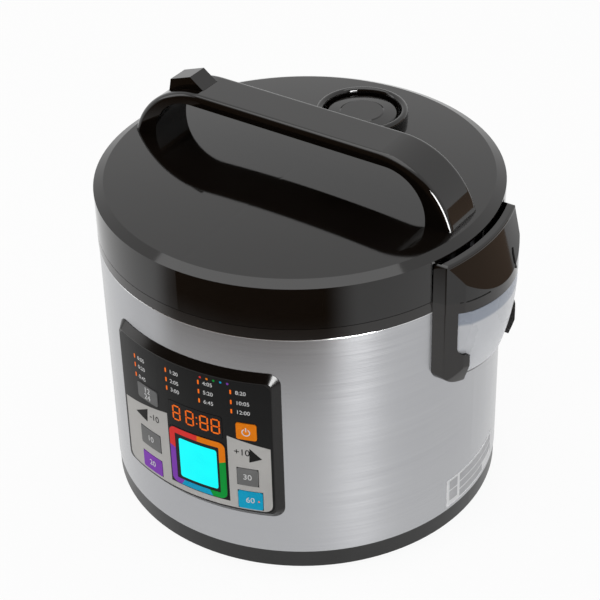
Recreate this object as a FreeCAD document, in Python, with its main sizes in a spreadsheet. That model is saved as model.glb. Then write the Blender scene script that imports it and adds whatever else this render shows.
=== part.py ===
import FreeCAD, Part
import math
import os

import Sketcher

# Table-top multicooker with a hinged lid: +Z up, origin on the axis of the round body at the level
# it stands on, control panel towards -Y, hinge and condensate cup towards +X. Millimetres, degrees.

doc = FreeCAD.newDocument("multicooker")
sheet = doc.addObject("Spreadsheet::Sheet", "dims")

SIZES = {
    # Round body, from the table up
    "foot_stand": 1.0,
    "foot_depth": 2.5,
    "foot_inset": 21.2,
    "foot_width": 10.0,
    "base_inset": 0.5,
    "base_height": 16.2,
    "base_edge": 1.5,
    "base_floor": 4.0,
    "base_wall": 2.5,
    "base_spigot": 8.0,
    "shell_radius": 139.7,
    "shell_sheet": 0.8,
    "shell_height": 179.1,
    "ring_height": 8.1,
    "ring_spigot": 6.0,
    "fit_gap": 0.3,
    "slide_gap": 0.1,
    "seam_gap": 0.4,
    "vent_count": 12,
    "vent_start": 28.0,
    "vent_length": 22.0,
    "vent_width": 4.0,
    # Cooking pot and its heater
    "pot_clear": 26.7,
    "pot_wall": 1.5,
    "pot_corner": 14.0,
    "pot_flange": 7.5,
    "pot_base": 62.0,
    "seat_depth": 4.6,
    "seat_clear": 2.5,
    "liner_gap": 8.5,
    "liner_sheet": 0.6,
    "liner_floor": 43.0,
    "liner_hole": 30.0,
    "post_radius": 5.0,
    "post_inset": 5.0,
    "post_count": 4,
    "screw_radius": 2.0,
    "screw_head": 4.0,
    "screw_head_depth": 1.8,
    "screw_length": 18.0,
    "screw_sink": 0.2,
    "plate_inset": 21.0,
    "plate_thick": 8.0,
    "plate_skirt": 4.0,
    "plate_hole": 19.0,
    "element_inset": 24.0,
    "element_radius": 4.0,
    "sensor_radius": 17.5,
    "sensor_cap": 12.0,
    "sensor_stem": 5.9,
    "sensor_stem_length": 26.0,
    "sensor_travel": 2.5,
    "sensor_post": 12.0,
    "sensor_post_top": 33.5,
    "sensor_wire": 1.2,
    "sensor_coil": 9.0,
    "sensor_turns": 4,
    # Lid
    "lid_overhang": 0.3,
    "lid_wall": 2.6,
    "rim_height": 30.7,
    "chamfer_run": 6.9,
    "chamfer_rise": 3.3,
    "dome_rise": 4.0,
    "dome_flat": 4.0,
    "underside_drop": 2.4,
    "underside_thick": 2.5,
    "plug_clear": 1.0,
    "plug_sheet": 1.0,
    "gasket_width": 9.0,
    "gasket_lap": 1.8,
    "grommet_radius": 9.0,
    "grommet_height": 6.0,
    "grommet_stem": 4.0,
    # Carrying handle and lid release
    "handle_width": 35.0,
    "handle_rise": 46.0,
    "handle_thick": 8.0,
    "handle_flat_inset": 67.0,
    "handle_bend": 57.5,
    "grip_flat_inset": 62.0,
    "grip_bend": 31.0,
    "handle_edge": 4.0,
    "handle_screw_inset": 23.0,
    "handle_screw_side": 11.0,
    "handle_screw_depth": 17.6,
    "button_width": 16.0,
    "button_low_inset": 67.4,
    "button_peak_inset": 56.7,
    "button_high_inset": 39.7,
    "button_end_inset": 37.7,
    "button_peak_up": 7.7,
    "button_shoulder_up": 1.6,
    "button_seat_down": 0.6,
    "button_seat_fall": 8.0,
    "button_travel": 1.5,
    "button_stem": 2.8,
    "button_stem_length": 1.6,
    "button_wire": 0.45,
    "button_coil": 2.8,
    "button_turns": 3,
    "button_spring_inset": 54.0,
    "latch_width": 8.0,
    "latch_inset": 22.5,
    "latch_rise": 11.9,
    "latch_pin_radius": 1.5,
    "latch_bar": 5.0,
    "latch_toe": 2.4,
    "latch_drop": 5.4,
    "hook_inset": 9.8,
    "latch_clear": 0.7,
    "latch_throw": 4.4,
    "latch_skin": 0.8,
    "latch_sweep": 3.8,
    "lever_nose": 1.0,
    "lever_tip": 1.5,
    "lever_elbow": 3.75,
    "lever_hip": 7.0,
    "slot_roof": 1.0,
    "slot_nose": 0.8,
    "slot_tail": 3.6,
    "slot_near": 3.5,
    "slot_front": 5.5,
    "slot_rear": 8.4,
    "slot_far": 9.0,
    "hook_room": 8.0,
    # Steam valve
    "valve_inset": 61.0,
    "collar_radius": 32.6,
    "collar_bore": 27.5,
    "collar_rise": 13.5,
    "collar_depth": 7.0,
    "collar_floor": 2.0,
    "cap_radius": 25.5,
    "cap_rise": 10.0,
    "cap_crown": 0.7,
    "cap_height": 7.9,
    "cap_wall": 2.0,
    "cap_ridge": 1.2,
    "cap_disc": 15.8,
    "cap_disc_run": 1.0,
    "cap_fall": 1.0,
    "cap_stem": 5.0,
    "tube_radius": 8.5,
    "tube_bore": 5.6,
    # Hinge block on the right-hand side
    "block_gap": 3.2,
    "block_half": 46.0,
    "block_reach": 20.8,
    "block_bow": 68.0,
    "block_corner": 4.0,
    "block_cheek": 10.5,
    "block_taper": 1.4,
    "block_side_out": 1.3,
    "block_horn": 2.6,
    "block_sweep_angle": 50.0,
    "block_top_width": 5.6,
    "block_edge": 2.0,
    "pin_radius": 1.75,
    "pin_out": 4.9,
    "pin_rise": 12.6,
    "pin_half": 23.5,
    "knuckle_radius": 3.6,
    "arm_inner": 9.5,
    "arm_width": 6.5,
    "arm_foot": 3.0,
    "arm_screw": 1.5,
    "arm_screw_head": 2.4,
    "cheek_half": 19.5,
    "recess_clear": 0.7,
    "recess_inset": 15.0,
    "lip_drop": 1.6,
    "lip_gap": 0.5,
    "coil_radius": 2.95,
    "coil_wire": 0.7,
    "coil_turns": 6,
    # Condensate cup and its holder
    "holder_height": 57.3,
    "holder_corner": 12.0,
    "holder_flare": 4.5,
    "holder_back": 2.6,
    "holder_screw_side": 20.0,
    "holder_screw_drop": 12.0,
    "cup_margin": 8.3,
    "cup_height": 55.0,
    "cup_wall": 1.6,
    "cup_front": 20.3,
    "cup_bow": 70.0,
    "cup_curve": 167.0,
    "cup_straight": 4.5,
    "cup_facet": 16.0,
    "cup_side_reach": 6.4,
    "cup_tub": 35.0,
    "cup_notch": 7.2,
    "drip_radius": 2.4,
    # Control panel, angles measured round the body from the front
    "panel_low": 47.5,
    "panel_height": 120.5,
    "panel_turn_angle": 0.8,
    "panel_half_angle": 27.5,
    "panel_rise": 4.1,
    "panel_lap": 4.0,
    "panel_back": 3.4,
    "panel_bevel": 5.6,
    "panel_corner": 9.0,
    "film_thick": 0.6,
    "film_margin": 0.8,
    "key_proud": 0.5,
    "key_depth": 4.6,
    "key_corner": 1.6,
    "key_gap": 0.25,
    "key_travel": 0.6,
    "screen_turn_angle": 3.9,
    "screen_rise": 11.9,
    "screen_height": 49.2,
    "screen_width_angle": 18.0,
    "screen_corner": 5.0,
    "digits_rise": 64.5,
    "digits_height": 18.0,
    "digits_width_angle": 16.5,
    "lens_depth": 2.2,
    "board_edge": 0.5,
    "board_thick": 1.6,
    "board_gap": 0.6,
    "board_margin": 11.0,
    "switch_size": 6.0,
    "spacer_side": 16.0,
    # Mains inlet at the back and the power board
    "inlet_half": 15.5,
    "inlet_height": 22.0,
    "inlet_low": 30.0,
    "inlet_depth": 16.4,
    "inlet_proud": 1.3,
    "inlet_wall": 3.5,
    "inlet_floor": 3.0,
    "blade_width": 4.0,
    "blade_thick": 2.0,
    "blade_length": 7.5,
    "blade_pitch": 7.0,
    "blade_offset": 3.0,
    "power_half": 40.0,
    "power_length": 46.0,
    "power_start": 56.0,
    "power_rise": 7.0,
    "relay_height": 16.0,
    "relay_side": 20.0,
    "relay_width": 16.0,
    "capacitor_radius": 6.7,
    "capacitor_height": 19.2,
    "terminal_width": 10.0,
    "terminal_length": 36.8,
    "terminal_height": 8.0,
}

# Keys: turn round the body, middle above the panel's lower edge, width as an angle, height
KEYS = {
    "key_upper_left": (-12.5, 76.1, 8.0, 12.4),
    "key_middle_left": (-12.7, 37.3, 8.0, 15.0),
    "key_lower_left": (-12.7, 15.9, 7.8, 13.6),
    "key_power": (18.9, 74.3, 5.6, 13.4),
    "key_middle_right": (18.7, 35.5, 5.8, 14.4),
    "key_lower_right": (19.2, 15.7, 6.8, 15.0),
}
KEY_FIELDS = ("turn_angle", "rise", "width_angle", "height")
FRONT_ANGLE = 270
COIL_POINTS = 24


class Size:
    """A length or angle that carries its number and the sheet expression behind it."""

    def __init__(self, value, text):
        self.value = value
        self.text = text

    def __add__(self, other):
        other = as_size(other)
        return Size(self.value + other.value, f"({self.text} + {other.text})")

    def __sub__(self, other):
        other = as_size(other)
        return Size(self.value - other.value, f"({self.text} - {other.text})")

    def __mul__(self, other):
        other = as_size(other)
        return Size(self.value * other.value, f"({self.text} * {other.text})")

    def __truediv__(self, other):
        other = as_size(other)
        return Size(self.value / other.value, f"({self.text} / {other.text})")

    def __neg__(self):
        return Size(-self.value, f"(0 - {self.text})")

    def __rsub__(self, other):
        return as_size(other) - self

    __radd__ = __add__
    __rmul__ = __mul__


def as_size(number):
    """Wrap a plain count or offset so that it mixes with sheet sizes."""
    if isinstance(number, Size):
        return number
    return Size(float(number), repr(float(number)))


def root(size):
    return Size(math.sqrt(size.value), f"sqrt({size.text})")


def sine(angle):
    return Size(math.sin(math.radians(angle.value)), f"sin({angle.text} * 1 deg)")


def cosine(angle):
    return Size(math.cos(math.radians(angle.value)), f"cos({angle.text} * 1 deg)")


def leg(hypotenuse, other):
    """The other short side of a right triangle."""
    return root(hypotenuse * hypotenuse - other * other)


class Dims:
    """The sheet's sizes as attributes."""


def fill_sheet():
    rows = dict(SIZES)
    for key, numbers in KEYS.items():
        for field, number in zip(KEY_FIELDS, numbers):
            rows[f"{key}_{field}"] = number
    sizes = Dims()
    for row, (alias, number) in enumerate(rows.items(), start=1):
        sheet.set(f"A{row}", alias)
        sheet.set(f"B{row}", str(number))
        sheet.setAlias(f"B{row}", alias)
        setattr(sizes, alias, Size(float(number), f"dims.{alias}"))
    doc.recompute()
    return sizes


def tie_sizes(sizes):
    """Places and radii that follow from the body's radius, the panel, the handle or the hinge block."""
    sizes.base_radius = sizes.shell_radius - sizes.base_inset
    sizes.foot_inner = sizes.base_radius - sizes.foot_inset
    sizes.pot_radius = sizes.shell_radius - sizes.pot_clear
    sizes.post_circle = sizes.pot_radius - sizes.post_inset
    sizes.plate_radius = sizes.pot_radius - sizes.plate_inset
    sizes.element_circle = sizes.plate_radius - sizes.element_inset
    sizes.plug_radius = sizes.pot_radius - sizes.plug_clear
    sizes.lid_radius = sizes.shell_radius + sizes.lid_overhang
    sizes.handle_flat = sizes.lid_radius - sizes.handle_flat_inset
    sizes.grip_flat = sizes.lid_radius - sizes.grip_flat_inset
    sizes.handle_screw_reach = sizes.lid_radius - sizes.handle_screw_inset
    sizes.button_low = sizes.lid_radius - sizes.button_low_inset
    sizes.button_peak = sizes.lid_radius - sizes.button_peak_inset
    sizes.button_high = sizes.lid_radius - sizes.button_high_inset
    sizes.button_end = sizes.lid_radius - sizes.button_end_inset
    sizes.button_spring_reach = sizes.lid_radius - sizes.button_spring_inset
    sizes.button_peak_rise = sizes.handle_rise + sizes.button_peak_up
    sizes.button_shoulder_rise = sizes.handle_rise + sizes.button_shoulder_up
    sizes.button_seat_rise = sizes.handle_rise - sizes.button_seat_down
    sizes.latch_reach = sizes.lid_radius - sizes.latch_inset
    sizes.latch_hook_reach = sizes.lid_radius - sizes.hook_inset
    sizes.valve_offset = sizes.lid_radius - sizes.valve_inset
    sizes.recess_half = sizes.block_half + sizes.recess_clear
    sizes.recess_reach = sizes.lid_radius - sizes.recess_inset
    sizes.block_height = sizes.rim_height - sizes.lip_drop - sizes.lip_gap
    sizes.cup_half = sizes.block_half - sizes.cup_margin
    sizes.panel_high = sizes.panel_low + sizes.panel_height
    sizes.screen_low = sizes.panel_low + sizes.screen_rise
    sizes.screen_high = sizes.screen_low + sizes.screen_height
    sizes.digits_low = sizes.panel_low + sizes.digits_rise
    sizes.digits_high = sizes.digits_low + sizes.digits_height


d = fill_sheet()
tie_sizes(d)
nodes = []


def publish(feature, label):
    """Name a finished sub-part; it is written to a file of that name."""
    feature.Label = label
    nodes.append(feature)
    return feature


def bind(feature, path, size):
    """Set one property from a size, by its expression."""
    feature.setExpression(path, as_size(size).text)


def origin_feature(body, role):
    for feature in body.Origin.OriginFeatures:
        if feature.Role == role:
            return feature
    raise ValueError(role)


def bend(x, y, radius, turn):
    """A corner reached along an arc that turns left (+1) or right (-1)."""
    return (x, y, radius, turn)


def arc_between(start, end, radius, turn):
    """The minor arc from start to end, with the sketch ends in the order it is stored."""
    chord = end - start
    half = chord.Length / 2
    side = FreeCAD.Vector(-chord.y, chord.x, 0).normalize()
    reach = math.sqrt(max(radius * radius - half * half, 0.0))
    centre = (start + end) * 0.5 + side * (reach * turn)
    first, last = (start, end) if turn > 0 else (end, start)
    begin = math.atan2(first.y - centre.y, first.x - centre.x)
    finish = math.atan2(last.y - centre.y, last.x - centre.x)
    circle = Part.Circle(centre, FreeCAD.Vector(0, 0, 1), radius)
    return Part.ArcOfCircle(circle, begin, finish)


def draw(sketch, outline):
    """Draw a closed outline whose every corner is dimensioned from the sketch origin."""
    corners = []
    for corner in outline:
        corners.append((as_size(corner[0]), as_size(corner[1])))
    points = [FreeCAD.Vector(x.value, y.value, 0) for x, y in corners]
    geometry = []
    ends = []
    arcs = []
    for index, corner in enumerate(outline):
        start = points[index - 1]
        end = points[index]
        if len(corner) == 2:
            geometry.append(Part.LineSegment(start, end))
            ends.append((1, 2))
            continue
        radius = as_size(corner[2])
        geometry.append(arc_between(start, end, radius.value, corner[3]))
        ends.append((1, 2) if corner[3] > 0 else (2, 1))
        arcs.append((index, radius))
    first = sketch.GeometryCount
    sketch.addGeometry(geometry, False)
    links = []
    count = len(outline)
    for index in range(count):
        following = (index + 1) % count
        links.append(Sketcher.Constraint(
            "Coincident", first + index, ends[index][1], first + following, ends[following][0]))
    sizes = []
    for index, (x, y) in enumerate(corners):
        place = (first + index, ends[index][1])
        for kind, size in (("DistanceX", x), ("DistanceY", y)):
            sizes.append((Sketcher.Constraint(kind, -1, 1, place[0], place[1], size.value), size))
    for index, radius in arcs:
        sizes.append((Sketcher.Constraint("Radius", first + index, radius.value), radius))
    sketch.addConstraint(links)
    offset = sketch.ConstraintCount
    sketch.addConstraint([constraint for constraint, size in sizes])
    for index, (constraint, size) in enumerate(sizes):
        if "dims." in size.text:
            bind(sketch, f"Constraints[{offset + index}]", size)


def draw_circle(sketch, x, y, radius):
    """Draw a circle placed from the sketch origin."""
    x, y, radius = as_size(x), as_size(y), as_size(radius)
    number = sketch.GeometryCount
    centre = FreeCAD.Vector(x.value, y.value, 0)
    sketch.addGeometry(Part.Circle(centre, FreeCAD.Vector(0, 0, 1), radius.value), False)
    for kind, size in (("DistanceX", x), ("DistanceY", y)):
        row = sketch.addConstraint(Sketcher.Constraint(kind, -1, 1, number, 3, size.value))
        if "dims." in size.text:
            bind(sketch, f"Constraints[{row}]", size)
    row = sketch.addConstraint(Sketcher.Constraint("Radius", number, radius.value))
    bind(sketch, f"Constraints[{row}]", radius)


def new_sketch(body, plane, lift=None):
    """A sketch on one of the body's own origin planes, lifted along the plane's normal."""
    sketch = body.newObject("Sketcher::SketchObject", body.Name + "_sketch")
    sketch.AttachmentSupport = (origin_feature(body, plane), [""])
    sketch.MapMode = "FlatFace"
    if lift is not None:
        bind(sketch, "AttachmentOffset.Base.z", lift)
    return sketch


def new_body(name):
    return doc.addObject("PartDesign::Body", name)


def turn_profile(body, outline, angle=None, kind="Revolution", plane="XZ_Plane"):
    """Revolve (or groove) an outline round Z, whole or centred on the sketch plane."""
    sketch = new_sketch(body, plane)
    draw(sketch, outline)
    feature = body.newObject("PartDesign::" + kind, body.Name + "_" + kind.lower())
    feature.Profile = sketch
    feature.ReferenceAxis = (sketch, ["V_Axis"])
    feature.Angle = 360
    if angle is not None:
        feature.Midplane = True
        bind(feature, "Angle", angle)
    return feature


def turn_from_front(body, outline):
    """Revolve an outline whose seam lies at the front, clear of the hinge and the handle."""
    mirrored = []
    for corner in outline:
        flipped = (-as_size(corner[0]), corner[1])
        if len(corner) > 2:
            flipped += (corner[2], -corner[3])
        mirrored.append(flipped)
    return turn_profile(body, mirrored, plane="YZ_Plane")


def extrude(body, plane, outline, length, lift=None, kind="Pad", both=False, back=False):
    """Pad (or pocket) an outline by a length, one way or evenly both ways."""
    sketch = new_sketch(body, plane, lift)
    if isinstance(outline, tuple):
        draw_circle(sketch, *outline)
    else:
        draw(sketch, outline)
    feature = body.newObject("PartDesign::" + kind, body.Name + "_" + kind.lower())
    feature.Profile = sketch
    if both:
        feature.SideType = "Symmetric"
    feature.Reversed = back
    bind(feature, "Length", length)
    return feature


def pocket(body, plane, outline, length, lift=None, both=False, back=False):
    return extrude(body, plane, outline, length, lift, "Pocket", both, back)


def box_outline(x_low, x_high, y_low, y_high):
    return [(x_low, y_low), (x_high, y_low), (x_high, y_high), (x_low, y_high)]


def round_edges(body, feature, radius, test):
    """Fillet the edges of the body's last feature that pass a test."""
    doc.recompute()
    names = []
    for number, edge in enumerate(feature.Shape.Edges, start=1):
        if test(edge):
            names.append(f"Edge{number}")
    fillet = body.newObject("PartDesign::Fillet", body.Name + "_fillet")
    fillet.Base = (feature, names)
    bind(fillet, "Radius", radius)
    return fillet


def bevel_edges(body, feature, across, deep, test):
    """Chamfer the edges that pass a test, with its own width across the face and depth."""
    doc.recompute()
    names = []
    for number, edge in enumerate(feature.Shape.Edges, start=1):
        if test(edge):
            names.append(f"Edge{number}")
    chamfer = body.newObject("PartDesign::Chamfer", body.Name + "_chamfer")
    chamfer.Base = (feature, names)
    chamfer.ChamferType = "Two distances"
    bind(chamfer, "Size", deep)
    bind(chamfer, "Size2", across)
    return chamfer


def polar(body, originals, count):
    doc.recompute()
    pattern = body.newObject("PartDesign::PolarPattern", body.Name + "_pattern")
    pattern.Originals = originals
    pattern.Axis = (origin_feature(body, "Z_Axis"), [""])
    pattern.Angle = 360
    bind(pattern, "Occurrences", count)
    body.Tip = pattern
    return pattern


def combine(kind, base, tool, name):
    feature = doc.addObject("Part::" + kind, name)
    feature.Base = base
    feature.Tool = tool
    return feature


def turn_about_axis(feature, turn):
    """Turn a piece built towards +X so that it faces an angle round the body from the front."""
    feature.Placement = FreeCAD.Placement(FreeCAD.Vector(), FreeCAD.Rotation(FreeCAD.Vector(0, 0, 1), 1))
    bind(feature, "Placement.Rotation.Angle", turn + FRONT_ANGLE)


def radial(edge):
    """True for a straight level edge, such as the corners of a plate bent round the body."""
    if not isinstance(edge.Curve, Part.Line):
        return False
    first, last = edge.Vertexes[0].Point, edge.Vertexes[-1].Point
    return abs(first.z - last.z) < 1e-6 and abs(first.x * last.y - first.y * last.x) < 1e-3


def segment(name, inner, outer, low, high, width, turn, corner=None):
    """A plate bent round the body axis, with rounded corners."""
    body = new_body(name)
    feature = turn_profile(body, box_outline(inner, outer, low, high), width)
    if corner is not None:
        round_edges(body, feature, corner, radial)
    turn_about_axis(body, turn)
    return body


def place(feature, x, y, z):
    """Bind a piece's position."""
    for letter, size in zip("xyz", (x, y, z)):
        bind(feature, f"Placement.Base.{letter}", size)


def cylinder(name, radius, height, x, y, z):
    feature = doc.addObject("Part::Cylinder", name)
    bind(feature, "Radius", radius)
    bind(feature, "Height", height)
    place(feature, x, y, z)
    return feature


def block(name, length, width, height, x, y, z):
    """A box centred on x and y, standing on z."""
    feature = doc.addObject("Part::Box", name)
    bind(feature, "Length", length)
    bind(feature, "Width", width)
    bind(feature, "Height", height)
    place(feature, x - length / 2, y - width / 2, z)
    return feature


def fuse_all(name, features):
    feature = doc.addObject("Part::MultiFuse", name)
    feature.Shapes = features
    return feature


def group(name, features):
    """Separate solids that share one node."""
    feature = doc.addObject("Part::Compound", name)
    feature.Links = features
    return feature


def coil(label, radius, wire, height, turns, foot, axis=FreeCAD.Vector(0, 0, 1)):
    """A spring of round wire, swept along its axis from its foot."""
    count = int(turns * COIL_POINTS)
    points = []
    for index in range(count + 1):
        turn = 2 * math.pi * turns * index / count
        points.append(FreeCAD.Vector(radius * math.cos(turn), radius * math.sin(turn), height * index / count))
    path = Part.BSplineCurve()
    path.interpolate(points)
    slope = height / (2 * math.pi * radius * turns)
    section = Part.Circle(points[0], FreeCAD.Vector(0, 1, slope), wire).toShape()
    feature = doc.addObject("Part::Feature", label)
    feature.Shape = Part.Wire([path.toShape()]).makePipeShell([Part.Wire([section])], True, True)
    feature.Placement = FreeCAD.Placement(foot, FreeCAD.Rotation(FreeCAD.Vector(0, 0, 1), axis))
    return publish(feature, label)


# Levels and radii that several pieces share
base_floor_top = d.foot_stand + d.base_floor
shell_top = d.base_height + d.shell_height
shell_inner = d.shell_radius - d.shell_sheet
ring_top = shell_top + d.ring_height
seat_level = ring_top - d.seat_depth
pot_outer = d.pot_radius + d.pot_wall
flange_radius = pot_outer + d.pot_flange
flange_top = seat_level + d.pot_wall
liner_inner = pot_outer + d.liner_gap
liner_outer = liner_inner + d.liner_sheet
liner_floor_top = d.liner_floor + d.liner_sheet
rim_low = ring_top + d.seam_gap
rim_top = ring_top + d.rim_height
crown_edge = d.lid_radius - d.chamfer_run
crown_low = rim_top + d.chamfer_rise
crown_top = crown_low + d.dome_rise
dome_curve = (crown_edge * crown_edge + d.dome_rise * d.dome_rise) / (d.dome_rise * 2)
rim_inner = d.lid_radius - d.lid_wall
underside_low = rim_low + d.underside_drop
underside_top = underside_low + d.underside_thick
handle_top = rim_top + d.handle_rise
grip_top = handle_top - d.handle_thick
block_face = d.lid_radius + d.block_gap
block_top = ring_top + d.block_height
block_low_reach = d.shell_radius + d.block_reach
block_side_x = d.shell_radius + d.block_side_out
arm_screw_z = ring_top + d.pin_rise + d.knuckle_radius * 0.9
arm_middle = d.arm_inner + d.arm_width / 2
holder_screw_z = shell_top - d.holder_screw_drop
pin_x = d.lid_radius + d.pin_out
pin_z = ring_top + d.pin_rise
lip_low = rim_top - d.lip_drop
latch_room = d.latch_hook_reach + d.latch_bar / 2 + d.latch_throw + d.fit_gap
FAR = d.lid_radius * 2
DEGREES = 180 / math.pi
TURN_LEFT = 1
TURN_RIGHT = -1


def make_base_pan():
    """Moulded base: floor with vents, foot groove, sensor post and a spigot for the shell."""
    body = new_body("base_pan_body")
    groove_in = d.foot_inner - d.fit_gap
    groove_out = d.foot_inner + d.foot_width + d.fit_gap
    wall_inner = shell_inner - d.fit_gap - d.base_wall
    spigot = shell_inner - d.fit_gap
    bore = d.sensor_stem + d.slide_gap
    pan = turn_profile(body, [
        (0, d.foot_stand),
        (groove_in, d.foot_stand),
        (groove_in, d.foot_depth),
        (groove_out, d.foot_depth),
        (groove_out, d.foot_stand),
        (d.base_radius - d.base_edge, d.foot_stand),
        (d.base_radius, d.foot_stand + d.base_edge),
        (d.base_radius, d.base_height),
        (spigot, d.base_height),
        (spigot, d.base_height + d.base_spigot),
        (wall_inner, d.base_height + d.base_spigot),
        (wall_inner, base_floor_top),
        (d.sensor_post, base_floor_top),
        (d.sensor_post, d.sensor_post_top),
        (bore, d.sensor_post_top),
        (bore, base_floor_top),
        (0, base_floor_top),
    ])
    half = d.vent_width / 2
    vent = pocket(body, "XY_Plane", [
        bend(d.vent_start, -half, half * 1.001, TURN_LEFT),
        (d.vent_start + d.vent_length, -half),
        bend(d.vent_start + d.vent_length, half, half * 1.001, TURN_LEFT),
        (d.vent_start, half),
    ], base_floor_top, back=True)
    polar(body, [vent], d.vent_count)
    reach = d.post_circle / root(as_size(2))
    shank = pocket(body, "XY_Plane", (reach, reach, d.screw_radius + d.fit_gap), base_floor_top, back=True)
    head_depth = d.foot_stand + d.screw_head_depth
    head = pocket(body, "XY_Plane", (reach, reach, d.screw_head + d.fit_gap), head_depth, back=True)
    polar(body, [shank, head], d.post_count)
    posts = []
    for side in (-1, 1):
        for along in (d.power_start + d.board_margin, d.power_start + d.power_length - d.board_margin):
            posts.append(cylinder("board_post", d.post_radius, d.power_rise,
                                  (d.power_half - d.board_margin) * side, along, base_floor_top))
    return publish(fuse_all("base_pan", [body] + posts), "base_pan")


def make_foot_ring():
    body = new_body("foot_ring_body")
    outer = d.foot_inner + d.foot_width
    turn_profile(body, box_outline(d.foot_inner, outer, 0, d.foot_depth))
    return publish(body, "foot_ring")


def make_liner_posts_and_screws():
    """Posts between base and liner, each with a screw from below."""
    reach = d.post_circle / root(as_size(2))
    head_low = d.foot_stand + d.screw_sink
    posts = []
    screws = []
    height = d.liner_floor - base_floor_top
    head_height = d.screw_head_depth - d.screw_sink
    for along, across in ((1, 1), (-1, 1), (-1, -1), (1, -1)):
        x, y = reach * along, reach * across
        post = cylinder("liner_post", d.post_radius, height, x, y, base_floor_top)
        hole = cylinder("post_hole", d.screw_radius + d.slide_gap, d.screw_length, x, y, base_floor_top)
        posts.append(combine("Cut", post, hole, "drilled_post"))
        head = cylinder("screw_head", d.screw_head, head_height, x, y, head_low)
        shank = cylinder("screw_shank", d.screw_radius, d.screw_length, x, y, head_low)
        screws.append(combine("Fuse", head, shank, "screw"))
    publish(group("liner_posts", posts), "liner_posts")
    publish(group("base_screws", screws), "base_screws")


def make_outer_shell():
    """Steel tube with windows for the control panel and the mains inlet."""
    body = new_body("shell_body")
    turn_profile(body, box_outline(shell_inner, d.shell_radius, d.base_height, shell_top))
    half = d.inlet_half + d.fit_gap
    pocket(body, "XZ_Plane", box_outline(-half, half, d.inlet_low - d.fit_gap,
                                         d.inlet_low + d.inlet_height + d.fit_gap), FAR)
    for side in (-1, 1):
        hole = (d.holder_screw_side * side, holder_screw_z, d.arm_screw + d.slide_gap)
        pocket(body, "YZ_Plane", hole, FAR, back=True)
    half_angle = d.panel_half_angle - arc_angle(d.panel_lap, d.shell_radius)
    window = segment("panel_window", d.shell_radius / 2, FAR, d.panel_low + d.panel_lap,
                     d.panel_high - d.panel_lap, half_angle * 2, d.panel_turn_angle)
    return publish(combine("Cut", body, window, "outer_shell"), "outer_shell")


def block_foot_outline(inner, inset):
    """The hinge block's plan, drawn in by an inset: bowed front, slanting cheeks, rounded inner face."""
    half = d.block_half - inset
    side = half - d.block_taper
    shoulder = half - d.block_cheek
    side_x = block_side_x - inset
    corner_x = block_low_reach - inset - d.block_bow + leg(d.block_bow, shoulder)
    back = leg(inner, half)
    return [
        bend(back, -half, inner, TURN_RIGHT),
        (side_x, -side),
        (corner_x, -shoulder),
        bend(corner_x, shoulder, d.block_bow, TURN_LEFT),
        (side_x, side),
        (back, half),
    ]


def cheek_edge(edge):
    """True for the upright edges where the block's sides meet its slanting cheeks."""
    if not isinstance(edge.Curve, Part.Line):
        return False
    first, last = edge.Vertexes[0].Point, edge.Vertexes[-1].Point
    upright = math.hypot(first.x - last.x, first.y - last.y) < 1e-6
    side = (d.block_half - d.block_taper).value
    near = math.hypot(first.x - block_side_x.value, abs(first.y) - side)
    return upright and near < d.block_edge.value / 2


def make_top_ring():
    """Black ring that closes the shell, seats the pot and carries the hinge block."""
    body = new_body("top_ring_body")
    seat_inner = pot_outer + d.seat_clear
    step = flange_radius + d.fit_gap * 3
    spigot = shell_inner - d.fit_gap
    spigot_inner = spigot - d.base_wall
    turn_profile(body, [
        (seat_inner, shell_top),
        (spigot_inner, shell_top),
        (spigot_inner, shell_top - d.ring_spigot),
        (spigot, shell_top - d.ring_spigot),
        (spigot, shell_top),
        (d.lid_radius, shell_top),
        (d.lid_radius, ring_top),
        (step, ring_top),
        (step, seat_level),
        (seat_inner, seat_level),
    ])
    foot = extrude(body, "XY_Plane", block_foot_outline(rim_inner, as_size(0)), d.ring_height, shell_top)
    round_edges(body, foot, d.block_edge, cheek_edge)
    toe = d.latch_hook_reach - d.latch_toe - d.latch_bar / 2 - d.latch_clear
    half = d.latch_width / 2 + d.fit_gap * 3
    pocket(body, "XY_Plane", box_outline(-latch_room, -toe, -half, half), d.latch_drop + d.fit_gap * 4,
           ring_top)
    drip = d.shell_radius + (d.cup_front + d.holder_back) / 2
    pocket(body, "XY_Plane", (drip, 0, d.drip_radius), d.ring_height, ring_top)
    return publish(body, "top_ring")


def make_pot_and_liner():
    """Removable cooking pot, and the heat shield that hangs round it."""
    pot = new_body("pot_body")
    corner_in = d.pot_corner - d.pot_wall
    floor_top = d.pot_base + d.pot_wall
    turn_profile(pot, [
        (0, d.pot_base),
        (pot_outer - d.pot_corner, d.pot_base),
        bend(pot_outer, d.pot_base + d.pot_corner, d.pot_corner, TURN_LEFT),
        (pot_outer, seat_level),
        (flange_radius, seat_level),
        (flange_radius, flange_top),
        (d.pot_radius, flange_top),
        (d.pot_radius, d.pot_base + d.pot_corner),
        bend(pot_outer - d.pot_corner, floor_top, corner_in, TURN_RIGHT),
        (0, floor_top),
    ])
    publish(pot, "inner_pot")
    liner = new_body("liner_body")
    turn_profile(liner, [
        (d.liner_hole, d.liner_floor),
        (liner_outer, d.liner_floor),
        (liner_outer, shell_top),
        (liner_inner, shell_top),
        (liner_inner, liner_floor_top),
        (d.liner_hole, liner_floor_top),
    ])
    publish(liner, "inner_liner")


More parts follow.
